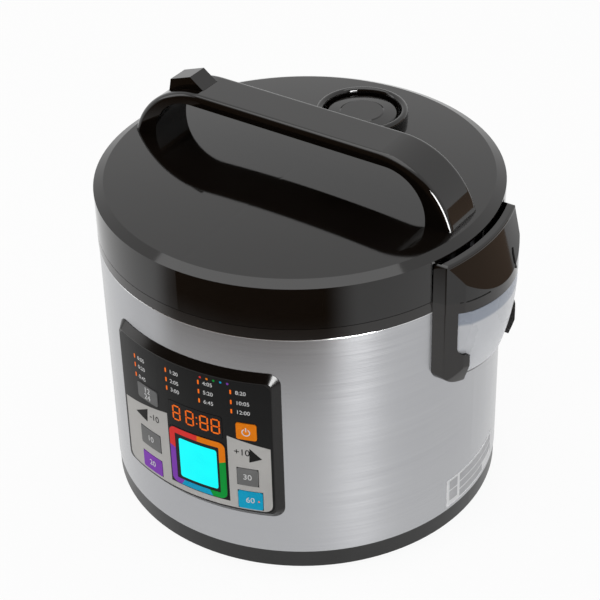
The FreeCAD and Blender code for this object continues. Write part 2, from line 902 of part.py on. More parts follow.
def make_heater():
    """Cast hotplate on a skirt, the element under it and the sprung sensor in its middle."""
    plate = new_body("plate_body")
    plate_low = d.pot_base - d.plate_thick
    turn_profile(plate, [
        (d.plate_hole, plate_low),
        (d.plate_radius - d.plate_skirt, plate_low),
        (d.plate_radius - d.plate_skirt, liner_floor_top),
        (d.plate_radius, liner_floor_top),
        (d.plate_radius, d.pot_base),
        (d.plate_hole, d.pot_base),
    ])
    publish(plate, "heating_plate")
    element = doc.addObject("Part::Torus", "element_torus")
    bind(element, "Radius1", d.element_circle)
    bind(element, "Radius2", d.element_radius)
    place(element, as_size(0), as_size(0), plate_low - d.element_radius - d.fit_gap)
    publish(element, "heating_element")
    sensor = new_body("sensor_body")
    cap_top = d.pot_base - d.fit_gap
    cap_low = cap_top - d.sensor_cap
    turn_profile(sensor, [
        (0, cap_low - d.sensor_stem_length),
        (d.sensor_stem, cap_low - d.sensor_stem_length),
        (d.sensor_stem, cap_low),
        (d.sensor_radius, cap_low),
        (d.sensor_radius, cap_top - d.base_edge),
        (d.sensor_radius - d.base_edge, cap_top),
        (0, cap_top),
    ])
    publish(sensor, "sensor_cap")
    room = cap_low.value - d.sensor_travel.value - d.sensor_post_top.value - 2 * d.fit_gap.value
    height = room - 2 * d.sensor_wire.value
    foot = FreeCAD.Vector(0, 0, d.sensor_post_top.value + d.sensor_wire.value + d.fit_gap.value / 3)
    coil("sensor_spring", d.sensor_coil.value, d.sensor_wire.value, height, d.sensor_turns.value, foot)


def dome_outline(drop, low, reach):
    """Half section of what lies under the lid's outer surface, lowered by a drop."""
    return [
        (0, low),
        (reach, low),
        (reach, rim_top - drop),
        (crown_edge, crown_low - drop),
        bend(d.dome_flat, crown_top - drop, dome_curve, TURN_LEFT),
        (0, crown_top - drop),
    ]


def make_lid_cover():
    """Lid shell: straight rim, bevelled edge, shallow dome, and a recess behind the hinge block."""
    body = new_body("lid_cover_body")
    inner_edge = crown_edge - d.lid_wall / 2
    turn_from_front(body, [
        (rim_inner, rim_low),
        (d.lid_radius, rim_low),
        (d.lid_radius, rim_top),
        (crown_edge, crown_low),
        bend(d.dome_flat, crown_top, dome_curve, TURN_LEFT),
        (0, crown_top),
        (0, crown_top - d.lid_wall),
        (d.dome_flat, crown_top - d.lid_wall),
        bend(inner_edge, crown_low - d.lid_wall, dome_curve, TURN_RIGHT),
        (rim_inner, rim_top - d.lid_wall / 2),
    ])
    seat = d.collar_bore + d.cap_wall
    pocket(body, "XY_Plane", (0, d.valve_offset, seat), d.collar_depth * 3, crown_top + d.lid_wall)
    half = d.latch_width / 2 + d.fit_gap * 2
    slot_in = d.latch_reach - d.slot_near
    slot_out = d.latch_reach + d.slot_far
    pocket(body, "XY_Plane", box_outline(-slot_out, -slot_in, -half, half), d.handle_thick * 2,
           crown_top + d.lid_wall)
    for side in (-1, 1):
        for across in (-1, 1):
            hole = (d.handle_screw_reach * side, d.handle_screw_side * across, d.screw_radius + d.slide_gap)
            pocket(body, "XY_Plane", hole, d.handle_thick * 2, crown_top + d.lid_wall)
    zero = as_size(0)
    wall_half = d.recess_half + d.lid_wall
    wall_x = d.recess_reach - d.lid_wall
    slab = block("recess_slab", FAR, wall_half * 2, FAR, wall_x + FAR / 2, zero, zero)
    within = new_body("lid_envelope")
    half_wall = d.lid_wall / 2
    turn_from_front(within, dome_outline(half_wall, rim_low, d.lid_radius - half_wall))
    backed = combine("Fuse", body, combine("Common", slab, within, "recess_wall"), "lid_with_wall")
    recess = block("lid_recess", FAR, d.recess_half * 2, lip_low, d.recess_reach + FAR / 2, zero, zero)
    opened = combine("Cut", backed, recess, "lid_recessed")
    rods = []
    for side in (-1, 1):
        rod = new_body("arm_screw_hole")
        extrude(rod, "YZ_Plane", (arm_middle * side, arm_screw_z, d.arm_screw + d.slide_gap / 5),
                d.lid_wall * 4, d.recess_reach - d.lid_wall * 2)
        rods.append(rod)
    return publish(combine("Cut", opened, group("arm_screw_holes", rods), "lid_cover"), "lid_cover")


def make_lid_underside():
    """Inner lid moulding with its centre stud, the removable plate, its gasket and its grommet."""
    liner = new_body("lid_liner_body")
    edge = rim_inner - d.fit_gap * 2
    plug_top = underside_low - d.fit_gap
    plug_low = plug_top - d.plug_sheet
    turn_profile(liner, [
        (0, plug_low - d.grommet_height),
        (d.grommet_stem, plug_low - d.grommet_height),
        (d.grommet_stem, underside_low),
        (edge, underside_low),
        (edge, underside_top),
        (0, underside_top),
    ])
    half = d.recess_half + d.lid_wall + d.fit_gap
    reach = d.recess_reach - d.lid_wall - d.fit_gap
    pocket(liner, "XY_Plane", box_outline(reach, FAR, -half, half), d.handle_thick * 2,
           underside_top + d.fit_gap)
    hook = d.latch_hook_reach
    slot = d.latch_width / 2 + d.fit_gap * 3
    pocket(liner, "XY_Plane", box_outline(-latch_room, -hook + d.hook_room, -slot, slot),
           d.handle_thick, underside_top + d.fit_gap)
    pocket(liner, "XY_Plane", (0, d.valve_offset, d.tube_radius + d.slide_gap), d.handle_thick,
           underside_top + d.fit_gap)
    publish(liner, "lid_liner")

    plate = new_body("inner_lid_body")
    hole = d.grommet_stem + d.cap_wall
    turn_profile(plate, box_outline(hole, d.plug_radius, plug_low, plug_top))
    pocket(plate, "XY_Plane", (0, d.valve_offset, d.tube_radius + d.fit_gap), d.handle_thick,
           plug_top + d.fit_gap)
    publish(plate, "inner_lid_plate")

    gasket = new_body("gasket_body")
    lip = d.plug_radius - d.gasket_lap
    outer = lip + d.gasket_width
    bottom = flange_top + d.fit_gap
    grip = d.slide_gap
    cover = plug_top + grip * 2
    turn_profile(gasket, [
        (lip, bottom),
        (outer - d.plug_sheet, bottom),
        (outer, bottom + d.plug_sheet),
        (outer, cover),
        (lip, cover),
        (lip, plug_top + grip),
        (d.plug_radius + grip, plug_top + grip),
        (d.plug_radius + grip, plug_low - grip),
        (lip, plug_low - grip),
    ])
    publish(gasket, "lid_gasket")

    grommet = new_body("grommet_body")
    bore = d.grommet_stem + grip
    neck = hole - grip
    low = plug_low - d.grommet_height / 2
    turn_profile(grommet, [
        (bore, low),
        (d.grommet_radius, plug_low - grip),
        (neck, plug_low - grip),
        (neck, cover),
        (bore, cover),
    ])
    publish(grommet, "plate_grommet")


def handle_profile():
    """Side view of the arched handle, with feet that run down into the dome."""
    foot = rim_top - d.handle_thick / 4
    drop = handle_top - d.handle_bend - foot
    foot_out = d.handle_flat + leg(d.handle_bend, drop)
    grip_side = d.grip_flat + d.grip_bend
    return [
        bend(-foot_out, foot, d.handle_bend, TURN_LEFT),
        (-grip_side, foot),
        (-grip_side, grip_top - d.grip_bend),
        bend(-d.grip_flat, grip_top, d.grip_bend, TURN_RIGHT),
        (d.grip_flat, grip_top),
        bend(grip_side, grip_top - d.grip_bend, d.grip_bend, TURN_RIGHT),
        (grip_side, foot),
        (foot_out, foot),
        bend(d.handle_flat, handle_top, d.handle_bend, TURN_LEFT),
        (-d.handle_flat, handle_top),
    ]


def button_seat(drop):
    """Both ends of the button's underside, lowered by a drop."""
    high = rim_top + d.button_seat_rise - drop
    return high, high - d.button_seat_fall


def make_handle():
    """Arched handle on the lid, hollowed on the left for the release button and its latch."""
    body = new_body("handle_body")
    arch = extrude(body, "XZ_Plane", handle_profile(), d.handle_width, both=True)
    half = d.handle_width.value / 2
    level = rim_top.value + d.handle_thick.value

    def outer_edge(edge):
        middle = edge.valueAt((edge.FirstParameter + edge.LastParameter) / 2)
        above = middle.z > handle_top.value - 1e-6
        bent = isinstance(edge.Curve, Part.Circle) and abs(edge.Curve.Radius - d.handle_bend.value) < 1e-6
        return abs(abs(middle.y) - half) < 1e-6 and (above or bent) and middle.z > level

    round_edges(body, arch, d.handle_edge, outer_edge)
    high, low = button_seat(d.button_travel + d.fit_gap * 2)
    gap = d.fit_gap
    pocket(body, "XZ_Plane", [
        (-d.button_low + gap, high),
        (-d.button_low + gap, handle_top + d.handle_thick),
        (-d.button_end - gap, handle_top + d.handle_thick),
        (-d.button_end - gap, low),
    ], d.button_width + gap * 2, both=True)
    bar = d.latch_bar
    slot = d.latch_width + gap * 4
    floor = rim_top - d.handle_thick / 2
    pivot = rim_top + d.latch_rise
    stem_roof = low + d.slot_roof
    bend_level = grip_top - d.grip_bend
    skin = d.grip_bend + d.latch_skin
    slot_end = d.button_end - d.button_stem / 2 - d.slot_tail
    pocket(body, "XZ_Plane", [
        (-d.button_end - gap, high),
        (-d.button_end - gap, stem_roof),
        (-d.button_end - gap - d.slot_nose, stem_roof),
        (-d.latch_reach - d.slot_near, pivot + bar),
        (-d.latch_reach - d.slot_rear, floor),
        (-d.latch_reach + d.slot_front, floor),
        (-d.latch_reach + d.slot_front, pivot),
        (-d.grip_flat - leg(skin, pivot + bar - bend_level), pivot + bar),
        bend(-slot_end, bend_level + leg(skin, slot_end - d.grip_flat), skin, TURN_RIGHT),
        (-slot_end, high),
    ], slot, both=True)
    pocket(body, "XZ_Plane", (-d.latch_reach, pivot, d.latch_pin_radius + d.slide_gap / 5),
           d.latch_width * 2 + d.fit_gap, both=True)
    bite = d.screw_radius + d.slide_gap / 5
    for side in (-1, 1):
        for across in (-1, 1):
            hole = (d.handle_screw_reach * side, d.handle_screw_side * across, bite)
            pocket(body, "XY_Plane", hole, d.handle_screw_depth, rim_top - d.handle_thick, back=True)
    dome = new_body("dome_tool")
    turn_from_front(dome, dome_outline(-d.slide_gap, rim_low, d.lid_radius + d.slide_gap))
    return publish(combine("Cut", body, dome, "handle"), "handle")


def make_handle_screws():
    """Four screws from inside the lid into the handle's feet."""
    screws = []
    head_top = crown_low - d.lid_wall
    for side in (-1, 1):
        for across in (-1, 1):
            x, y = d.handle_screw_reach * side, d.handle_screw_side * across
            head = cylinder("handle_screw_head", d.screw_head, d.screw_head_depth, x, y,
                            head_top - d.screw_head_depth)
            shank = cylinder("handle_screw_shank", d.screw_radius, d.handle_thick * 1.2, x, y,
                             head_top - d.screw_head_depth)
            screws.append(combine("Fuse", head, shank, "handle_screw"))
    publish(group("handle_screws", screws), "handle_screws")


def make_release():
    """Roof-shaped release button with its stem, its spring, and the latch lever on its pin."""
    button = new_body("button_body")
    high, low = button_seat(as_size(0))
    extrude(button, "XZ_Plane", [
        (-d.button_end, low),
        (-d.button_low, high),
        (-d.button_low, handle_top - d.slide_gap),
        (-d.button_peak, rim_top + d.button_peak_rise),
        (-d.button_high, rim_top + d.button_shoulder_rise),
    ], d.button_width, both=True)
    stem_low = low - d.button_stem_length
    extrude(button, "XZ_Plane", box_outline(-d.button_end, -d.button_end + d.button_stem, stem_low, high),
            d.latch_width, both=True)
    pocket(button, "XY_Plane", (-d.button_spring_reach, 0, d.button_coil + d.button_wire + d.fit_gap),
           handle_top + d.button_travel, back=True)
    publish(button, "release_button")

    share = (d.button_spring_reach - d.button_low) / (d.button_end - d.button_low)
    floor = high - d.button_seat_fall * share - d.button_travel - d.fit_gap * 2
    lift = d.button_wire + d.fit_gap * 2 + d.button_coil * d.button_seat_fall / (d.button_end - d.button_low)
    foot = FreeCAD.Vector(-d.button_spring_reach.value, 0, (floor + lift).value)
    height = (handle_top - d.fit_gap - d.button_wire).value - foot.z
    coil("button_spring", d.button_coil.value, d.button_wire.value, height, d.button_turns.value, foot)

    lever = new_body("latch_body")
    bar = d.latch_bar
    pivot = rim_top + d.latch_rise
    hook = d.latch_hook_reach
    hook_low = ring_top - d.latch_drop
    toe_top = hook_low + d.latch_toe
    top = stem_low - d.fit_gap
    stem_mid = d.button_end - d.button_stem / 2
    bend_level = grip_top - d.grip_bend
    sweep = d.grip_bend + d.latch_sweep
    lever_end = stem_mid - d.lever_nose
    extrude(lever, "XZ_Plane", [
        (-hook - bar / 2, hook_low),
        (-hook + bar / 2, hook_low),
        (-hook + bar / 2 + d.latch_toe, toe_top),
        (-hook + bar / 2, toe_top),
        (-hook + bar / 2, underside_top + bar),
        (-d.latch_reach + bar / 2, pivot - bar),
        (-d.latch_reach + d.lever_elbow, pivot),
        (-d.grip_flat - leg(sweep, pivot + bar - bend_level), pivot + bar),
        bend(-lever_end, bend_level + leg(sweep, lever_end - d.grip_flat), sweep, TURN_RIGHT),
        (-lever_end, top),
        (-stem_mid - d.lever_tip, top),
        (-d.latch_reach - bar / 2, pivot + bar / 2),
        (-d.latch_reach - d.lever_elbow, pivot - bar),
        (-hook - bar / 2, underside_top + d.lever_hip),
    ], d.latch_width, both=True)
    pocket(lever, "XZ_Plane", (-d.latch_reach, pivot, d.latch_pin_radius + d.slide_gap / 2),
           d.latch_width * 2, both=True)
    publish(lever, "latch_lever")
    pin = new_body("latch_pin_body")
    extrude(pin, "XZ_Plane", (-d.latch_reach, pivot, d.latch_pin_radius), d.latch_width * 2, both=True)
    publish(pin, "latch_pin")


def make_steam_valve():
    """Raised collar with a well, the lift-off cap in it, and the tube through the lid."""
    collar = new_body("collar_body")
    top = crown_low + d.collar_rise - d.chamfer_rise
    well_low = crown_low - d.collar_depth + d.collar_floor
    well_top = well_low + d.collar_floor
    outer = d.collar_bore + d.cap_wall - d.slide_gap
    crest = (d.collar_radius - d.collar_bore) / 2
    turn_profile(collar, [
        (d.tube_radius + d.slide_gap, well_low),
        (outer, well_low),
        (outer, rim_top),
        (d.collar_radius, rim_top),
        (d.collar_radius, top - crest),
        bend(d.collar_radius - crest, top, crest, TURN_LEFT),
        bend(d.collar_bore, top - crest, crest, TURN_LEFT),
        (d.collar_bore, well_top),
        (d.tube_radius + d.slide_gap, well_top),
    ])
    place(collar, as_size(0), d.valve_offset, as_size(0))
    dome = new_body("collar_dome_tool")
    turn_from_front(dome, dome_outline(-d.slide_gap, rim_low, d.lid_radius))
    bore = cylinder("collar_core", outer, crown_top, as_size(0), d.valve_offset, as_size(0))
    under = combine("Cut", dome, bore, "collar_seat_tool")
    publish(combine("Cut", collar, under, "valve_collar"), "valve_collar")

    cap = new_body("cap_body")
    cap_top = crown_low + d.cap_rise - d.chamfer_rise
    skirt = cap_top - d.cap_height
    turn_profile(cap, [
        (0, skirt - d.cap_wall),
        (d.cap_stem, skirt - d.cap_wall),
        (d.cap_stem, cap_top - d.cap_wall),
        (d.cap_radius - d.cap_wall, cap_top - d.cap_wall - d.cap_fall),
        (d.cap_radius - d.cap_wall, skirt),
        (d.cap_radius, skirt),
        (d.cap_radius, cap_top - d.cap_wall),
        bend(d.cap_radius - d.cap_wall, cap_top, d.cap_wall, TURN_LEFT),
        (d.cap_disc, cap_top + d.cap_crown),
        (d.cap_disc - d.cap_disc_run, cap_top + d.cap_ridge),
        (0, cap_top + d.cap_ridge),
    ])
    place(cap, as_size(0), d.valve_offset, as_size(0))
    publish(cap, "steam_valve")

    tube = new_body("tube_body")
    low = underside_low - d.fit_gap - d.plug_sheet
    flange = d.tube_radius + d.cap_wall
    turn_profile(tube, [
        (d.tube_bore, low),
        (d.tube_radius, low),
        (d.tube_radius, well_top),
        (flange, well_top),
        (flange, well_top + d.plug_sheet),
        (d.tube_bore, well_top + d.plug_sheet),
    ])
    place(tube, as_size(0), d.valve_offset, as_size(0))
    publish(tube, "steam_tube")


def make_hinge():
    """Hinge block on the ring, its pin and spring, and the two arms screwed to the lid."""
    lean = new_body("block_lean")
    high_reach = block_face + d.block_top_width
    edge = d.block_edge
    turn_profile(lean, [
        (d.recess_reach, ring_top),
        (block_low_reach, ring_top),
        (high_reach, block_top - edge),
        bend(high_reach - edge, block_top, edge, TURN_LEFT),
        (d.recess_reach, block_top),
    ], d.block_sweep_angle)
    plan = new_body("block_plan")
    outline = block_foot_outline(block_face, as_size(0))
    half = d.block_half
    horn_half = half - d.block_horn
    horn_x = leg(d.lid_radius + d.fit_gap, half)
    face_x = leg(block_face, horn_half)
    pad = extrude(plan, "XY_Plane", [
        bend(face_x, -horn_half, block_face, TURN_RIGHT),
        (horn_x, -horn_half),
        (horn_x, -half),
    ] + outline[1:-1] + [
        (horn_x, half),
        (horn_x, horn_half),
        (face_x, horn_half),
    ], d.block_height, ring_top)
    round_edges(plan, pad, edge, cheek_edge)
    front = new_body("block_front")
    corner = d.block_corner
    extrude(front, "YZ_Plane", [
        (-half, ring_top),
        (half, ring_top),
        (half, block_top - corner),
        bend(half - corner, block_top, corner, TURN_LEFT),
        (-half + corner, block_top),
        bend(-half, block_top - corner, corner, TURN_LEFT),
    ], FAR)
    form = combine("Common", combine("Common", lean, plan, "block_bowed"), front, "block_form")
    cavity = new_body("block_cavity")
    room = d.knuckle_radius + d.fit_gap * 2
    roof = pin_z + d.knuckle_radius * 2.5
    extrude(cavity, "XZ_Plane", [
        (pin_x - d.knuckle_radius * 4, ring_top - d.seam_gap),
        (pin_x + room * 0.8, ring_top - d.seam_gap),
        (pin_x + room, pin_z),
        (pin_x + room * 0.7, pin_z + room),
        (pin_x, roof),
        (pin_x - d.knuckle_radius * 4, roof),
    ], d.cheek_half * 2, both=True)
    extrude(cavity, "XZ_Plane", (pin_x, pin_z, d.pin_radius + d.slide_gap / 5), d.pin_half * 2, both=True)
    publish(combine("Cut", form, cavity, "hinge_block"), "hinge_block")

    pin = new_body("hinge_pin_body")
    extrude(pin, "XZ_Plane", (pin_x, pin_z, d.pin_radius), d.pin_half * 2 - d.fit_gap, both=True)
    publish(pin, "hinge_pin")

    arms = []
    screws = []
    for side in (-1, 1):
        arm = new_body("hinge_arm")
        middle = arm_middle * side
        foot = d.recess_reach + d.arm_foot
        neck = ring_top + d.seam_gap * 3
        knuckle = d.knuckle_radius
        # The gooseneck's corners are shares of the knuckle's radius
        extrude(arm, "XZ_Plane", (pin_x, pin_z, knuckle), d.arm_width, -middle, both=True)
        extrude(arm, "XZ_Plane", [
            (d.recess_reach, neck),
            (pin_x - knuckle * 1.6, neck),
            (pin_x + knuckle * 0.5, pin_z - knuckle * 0.8),
            (pin_x - knuckle * 0.8, pin_z - knuckle * 0.1),
            (foot, pin_z - knuckle * 1.25),
            (foot, pin_z + knuckle * 1.9),
            (d.recess_reach, pin_z + knuckle * 1.9),
        ], d.arm_width, -middle, both=True)
        bore = (pin_x, pin_z, d.pin_radius + d.slide_gap / 2)
        pocket(arm, "XZ_Plane", bore, d.arm_width * 2, -middle, both=True)
        hole = (middle, arm_screw_z, d.arm_screw + d.slide_gap)
        pocket(arm, "YZ_Plane", hole, d.arm_foot * 2, d.recess_reach - d.fit_gap, back=True)
        sunk = (middle, arm_screw_z, d.arm_screw_head + d.slide_gap)
        screw_seat = foot - d.screw_head_depth
        pocket(arm, "YZ_Plane", sunk, d.arm_foot, screw_seat, back=True)
        arms.append(arm)
        screws.append(level_screw("arm_screw", middle, arm_screw_z, screw_seat))
    publish(group("hinge_arms", arms), "hinge_arms")
    publish(group("arm_screws", screws), "arm_screws")

    turn = FreeCAD.Vector(0, 1, 0)
    length = 2 * (d.arm_inner.value - d.coil_wire.value * 2)
    foot = FreeCAD.Vector(pin_x.value, -length / 2, pin_z.value)
    coil("hinge_spring", d.coil_radius.value, d.coil_wire.value, length, d.coil_turns.value, foot, turn)


def level_screw(name, y, z, seat_x):
    """A small screw along X with its head on a seat, pointing to the body's axis."""
    screw = new_body(name)
    head = d.screw_head_depth
    shank = d.arm_foot + d.lid_wall + d.arm_screw
    extrude(screw, "YZ_Plane", (y, z, d.arm_screw), shank + head / 2, seat_x - shank)
    extrude(screw, "YZ_Plane", (y, z, d.arm_screw_head), head, seat_x)
    return screw


def cup_bowed(name, inset, low, high):
    """What lies behind the cup's bowed and tucked-in face: a barrel about the bow's own axis."""
    body = new_body(name)
    belly = shell_top - d.cup_straight
    radius = d.cup_bow - inset
    low_radius = radius - d.cup_curve + leg(d.cup_curve, belly - low)
    turn_profile(body, [
        (0, low),
        (low_radius, low),
        bend(radius, belly, d.cup_curve, TURN_LEFT),
        (radius, high),
        (0, high),
    ])
    zero = as_size(0)
    place(body, d.shell_radius + d.cup_front - d.cup_bow, zero, zero)
    return body


def cup_faceted(name, inset, rear):
    """The cup's plan: straight sides and slanting facets, drawn in by an inset."""
    body = new_body(name)
    half = d.cup_half - inset
    side_x = d.shell_radius + d.holder_back + d.fit_gap + d.cup_side_reach / 2 - inset * 0.4
    facet = d.cup_facet
    extrude(body, "XY_Plane", [
        (rear, -half),
        (side_x, -half),
        (side_x + facet, -half + facet),
        (side_x + facet, half - facet),
        (side_x, half),
        (rear, half),
    ], FAR)
    return body


def cup_fronted(name, inset, low, high, start):
    """The cup's front view: full width above, the middle alone below, drawn in by an inset."""
    body = new_body(name)
    half = d.cup_half - inset
    notch = d.cup_notch
    middle = half - notch
    step = shell_top - d.cup_tub + inset
    extrude(body, "YZ_Plane", [
        (-middle, low),
        (middle, low),
        (middle, step),
        bend(half, step + notch, notch, TURN_LEFT),
        (half, high),
        (-half, high),
        (-half, step + notch),
        bend(-middle, step, notch, TURN_LEFT),
    ], FAR, start)
    return body


def make_collector():
    """U-shaped holder on the shell under the hinge block, and the cup that pulls out of it."""
    low = shell_top - d.holder_height
    half = d.block_half - d.fit_gap
    corner = d.holder_corner
    front = new_body("holder_front")
    extrude(front, "YZ_Plane", [
        bend(-half + corner, low, corner, TURN_LEFT),
        (half - corner, low),
        bend(half, low + corner, corner, TURN_LEFT),
        (half, shell_top),
        (-half, shell_top),
        (-half, low + corner),
    ], FAR)
    plan = new_body("holder_plan")
    inset = d.fit_gap * 2
    pad = extrude(plan, "XY_Plane", block_foot_outline(d.shell_radius + d.slide_gap, inset), FAR)
    round_edges(plan, pad, d.block_edge, cheek_edge)
    flared = cup_bowed("holder_barrel", -d.holder_flare, low - d.seam_gap, shell_top)
    form = combine("Common", combine("Common", front, plan, "holder_block"), flared, "holder_form")
    cup_low = shell_top - d.cup_height
    cup_top = shell_top - d.seam_gap * 2
    back = d.shell_radius + d.holder_back
    above = shell_top + corner
    mouth = cup_fronted("holder_mouth", -d.fit_gap, cup_low - d.fit_gap, above, back)
    open_form = combine("Cut", form, mouth, "holder_open")
    zero = as_size(0)
    brim = block("holder_brim", FAR, (d.cup_half - d.cup_notch) * 2, d.cup_height, back + FAR / 2, zero,
                 low - d.cup_height / 2)
    rounded = cup_bowed("holder_brim_core", d.fit_gap * 2, low - d.seam_gap, cup_low + d.fit_gap)
    trimmed = combine("Cut", open_form, combine("Cut", brim, rounded, "brim_waste"), "holder_trimmed")
    rods = []
    screws = []
    seat = back - d.screw_head_depth - d.slide_gap
    for side in (-1, 1):
        y = d.holder_screw_side * side
        rod = new_body("holder_screw_hole")
        extrude(rod, "YZ_Plane", (y, holder_screw_z, d.arm_screw + d.slide_gap), FAR)
        extrude(rod, "YZ_Plane", (y, holder_screw_z, d.arm_screw_head + d.slide_gap), FAR, seat)
        rods.append(rod)
        screws.append(level_screw("holder_screw", y, holder_screw_z, seat))
    publish(combine("Cut", trimmed, group("holder_screw_holes", rods), "cup_holder"), "cup_holder")
    publish(group("holder_screws", screws), "holder_screws")

    rear = back + d.fit_gap
    wall = d.cup_wall
    outer = combine("Common", combine("Common", cup_bowed("cup_barrel", zero, cup_low, cup_top),
                                      cup_faceted("cup_plan", zero, rear), "cup_bowed_plan"),
                    cup_fronted("cup_front", zero, cup_low, cup_top, rear), "cup_form")
    floor = cup_low + wall
    hollow = combine("Common", combine("Common", cup_bowed("hollow_barrel", wall, floor, above),
                                       cup_faceted("hollow_plan", wall, rear + wall), "hollow_bowed_plan"),
                     cup_fronted("hollow_front", wall, floor, above, rear + wall), "cup_hollow")
    publish(combine("Cut", outer, hollow, "condensate_cup"), "condensate_cup")


def arc_angle(length, radius):
    """The angle, in degrees, that a length takes up round a radius."""
    return length / radius * DEGREES


def make_panel():
    """Bevelled bezel on the shell, the front film, the display lenses, the keys and their board."""
    seat = d.shell_radius + d.slide_gap * 2
    face = seat + d.panel_rise
    back = d.shell_radius - d.panel_back
    over = face + d.panel_rise
    zero = as_size(0)
    bezel = new_body("bezel_body")
    plate = turn_profile(bezel, box_outline(seat, face, d.panel_low, d.panel_high), d.panel_half_angle * 2)
    rounded = round_edges(bezel, plate, d.panel_corner, radial)

    def front_edge(edge):
        return all(abs(math.hypot(v.X, v.Y) - face.value) < 1e-3 for v in edge.Vertexes)

    bevel_edges(bezel, rounded, d.panel_bevel, d.panel_rise - d.slide_gap, front_edge)
    middle = d.panel_turn_angle
    turn_about_axis(bezel, middle)

    lap = d.panel_lap + d.fit_gap
    boss_half = d.panel_half_angle - arc_angle(lap, d.shell_radius)
    boss = segment("bezel_boss", back, seat + d.slide_gap, d.panel_low + lap, d.panel_high - lap,
                   boss_half * 2, middle, d.key_corner)
    whole = combine("Fuse", bezel, boss, "bezel_whole")

    film_in = face - d.film_thick
    film_low = d.panel_low + d.panel_bevel + d.film_margin
    film_high = d.panel_high - d.panel_bevel - d.film_margin
    film_half = d.panel_half_angle - arc_angle(d.panel_bevel + d.film_margin, face)
    film_corner = d.panel_corner - d.panel_bevel / 2
    slack = d.slide_gap
    recess = segment("film_recess", film_in, over, film_low - slack, film_high + slack,
                     (film_half + arc_angle(slack, face)) * 2, middle, film_corner)
    film = segment("film_body", film_in + slack / 2, face, film_low, film_high, film_half * 2, middle,
                   film_corner)

    lens_in = face - d.lens_depth
    lens_out = face + d.slide_gap * 2
    gap = d.key_gap
    gap_angle = arc_angle(gap, face)
    holes = []
    lenses = []
    windows = (
        ("screen_lens", d.screen_low, d.screen_high, d.screen_width_angle, d.screen_corner),
        ("timer_lens", d.digits_low, d.digits_high, d.digits_width_angle, d.key_corner),
    )
    for label, low, high, width, corner in windows:
        turn = d.screen_turn_angle
        lens = segment(label + "_body", lens_in, lens_out, low, high, width, turn, corner)
        lenses.append((lens, label))
        holes.append(segment(label + "_hole", lens_in - d.slide_gap, over, low - gap, high + gap,
                             width + gap_angle * 2, turn, corner))
    key_out = face + d.key_proud
    key_in = key_out - d.key_depth
    keys = {}
    switches = []
    board_y = liner_outer + d.board_gap
    board_face = board_y + d.board_thick
    lean = d.switch_size * sine(d.panel_half_angle) / 2
    for key in KEYS:
        turn, rise, width, height = (getattr(d, f"{key}_{field}") for field in KEY_FIELDS)
        level = d.panel_low + rise
        low, high = level - height / 2, level + height / 2
        keys[key] = segment(key + "_body", key_in, key_out, low, high, width, turn, d.key_corner)
        holes.append(segment(key + "_hole", back - d.panel_back, over, low - gap, high + gap,
                             width + gap_angle * 2, turn, d.key_corner))
        reach = (key_in - d.key_travel - d.fit_gap) * cosine(turn) - lean
        switches.append(block("key_switch", d.switch_size, reach - board_face, d.switch_size,
                              key_in * sine(turn), -(reach + board_face) / 2, level - d.switch_size / 2))
    openings = group("panel_openings", holes)
    recessed = combine("Cut", whole, recess, "bezel_recessed")
    publish(combine("Cut", recessed, openings, "panel_bezel"), "panel_bezel")
    publish(combine("Cut", film, openings, "panel_film"), "panel_film")
    for lens, label in lenses:
        publish(lens, label)
    for key, body in keys.items():
        publish(body, key)
    publish(group("key_switches", switches), "key_switches")

    board_half = key_in * sine(d.key_lower_right_turn_angle) + d.switch_size / 2 + d.board_edge
    board_low = d.panel_low + d.board_margin
    board_height = d.panel_height - d.board_margin * 2
    board = block("control_board", board_half * 2, d.board_thick, board_height, zero,
                  -(board_y + d.board_thick / 2), board_low)
    publish(board, "control_board")
    spacers = []
    spacer = d.post_radius
    spacer_end = leg(back - d.slide_gap, d.spacer_side + spacer)
    for side in (-1, 1):
        for level in (board_low, board_low + board_height - spacer):
            spacers.append(block("board_spacer", spacer, spacer_end - board_face, spacer,
                                 d.spacer_side * side, -(spacer_end + board_face) / 2, level))
    publish(group("board_spacers", spacers), "board_spacers")


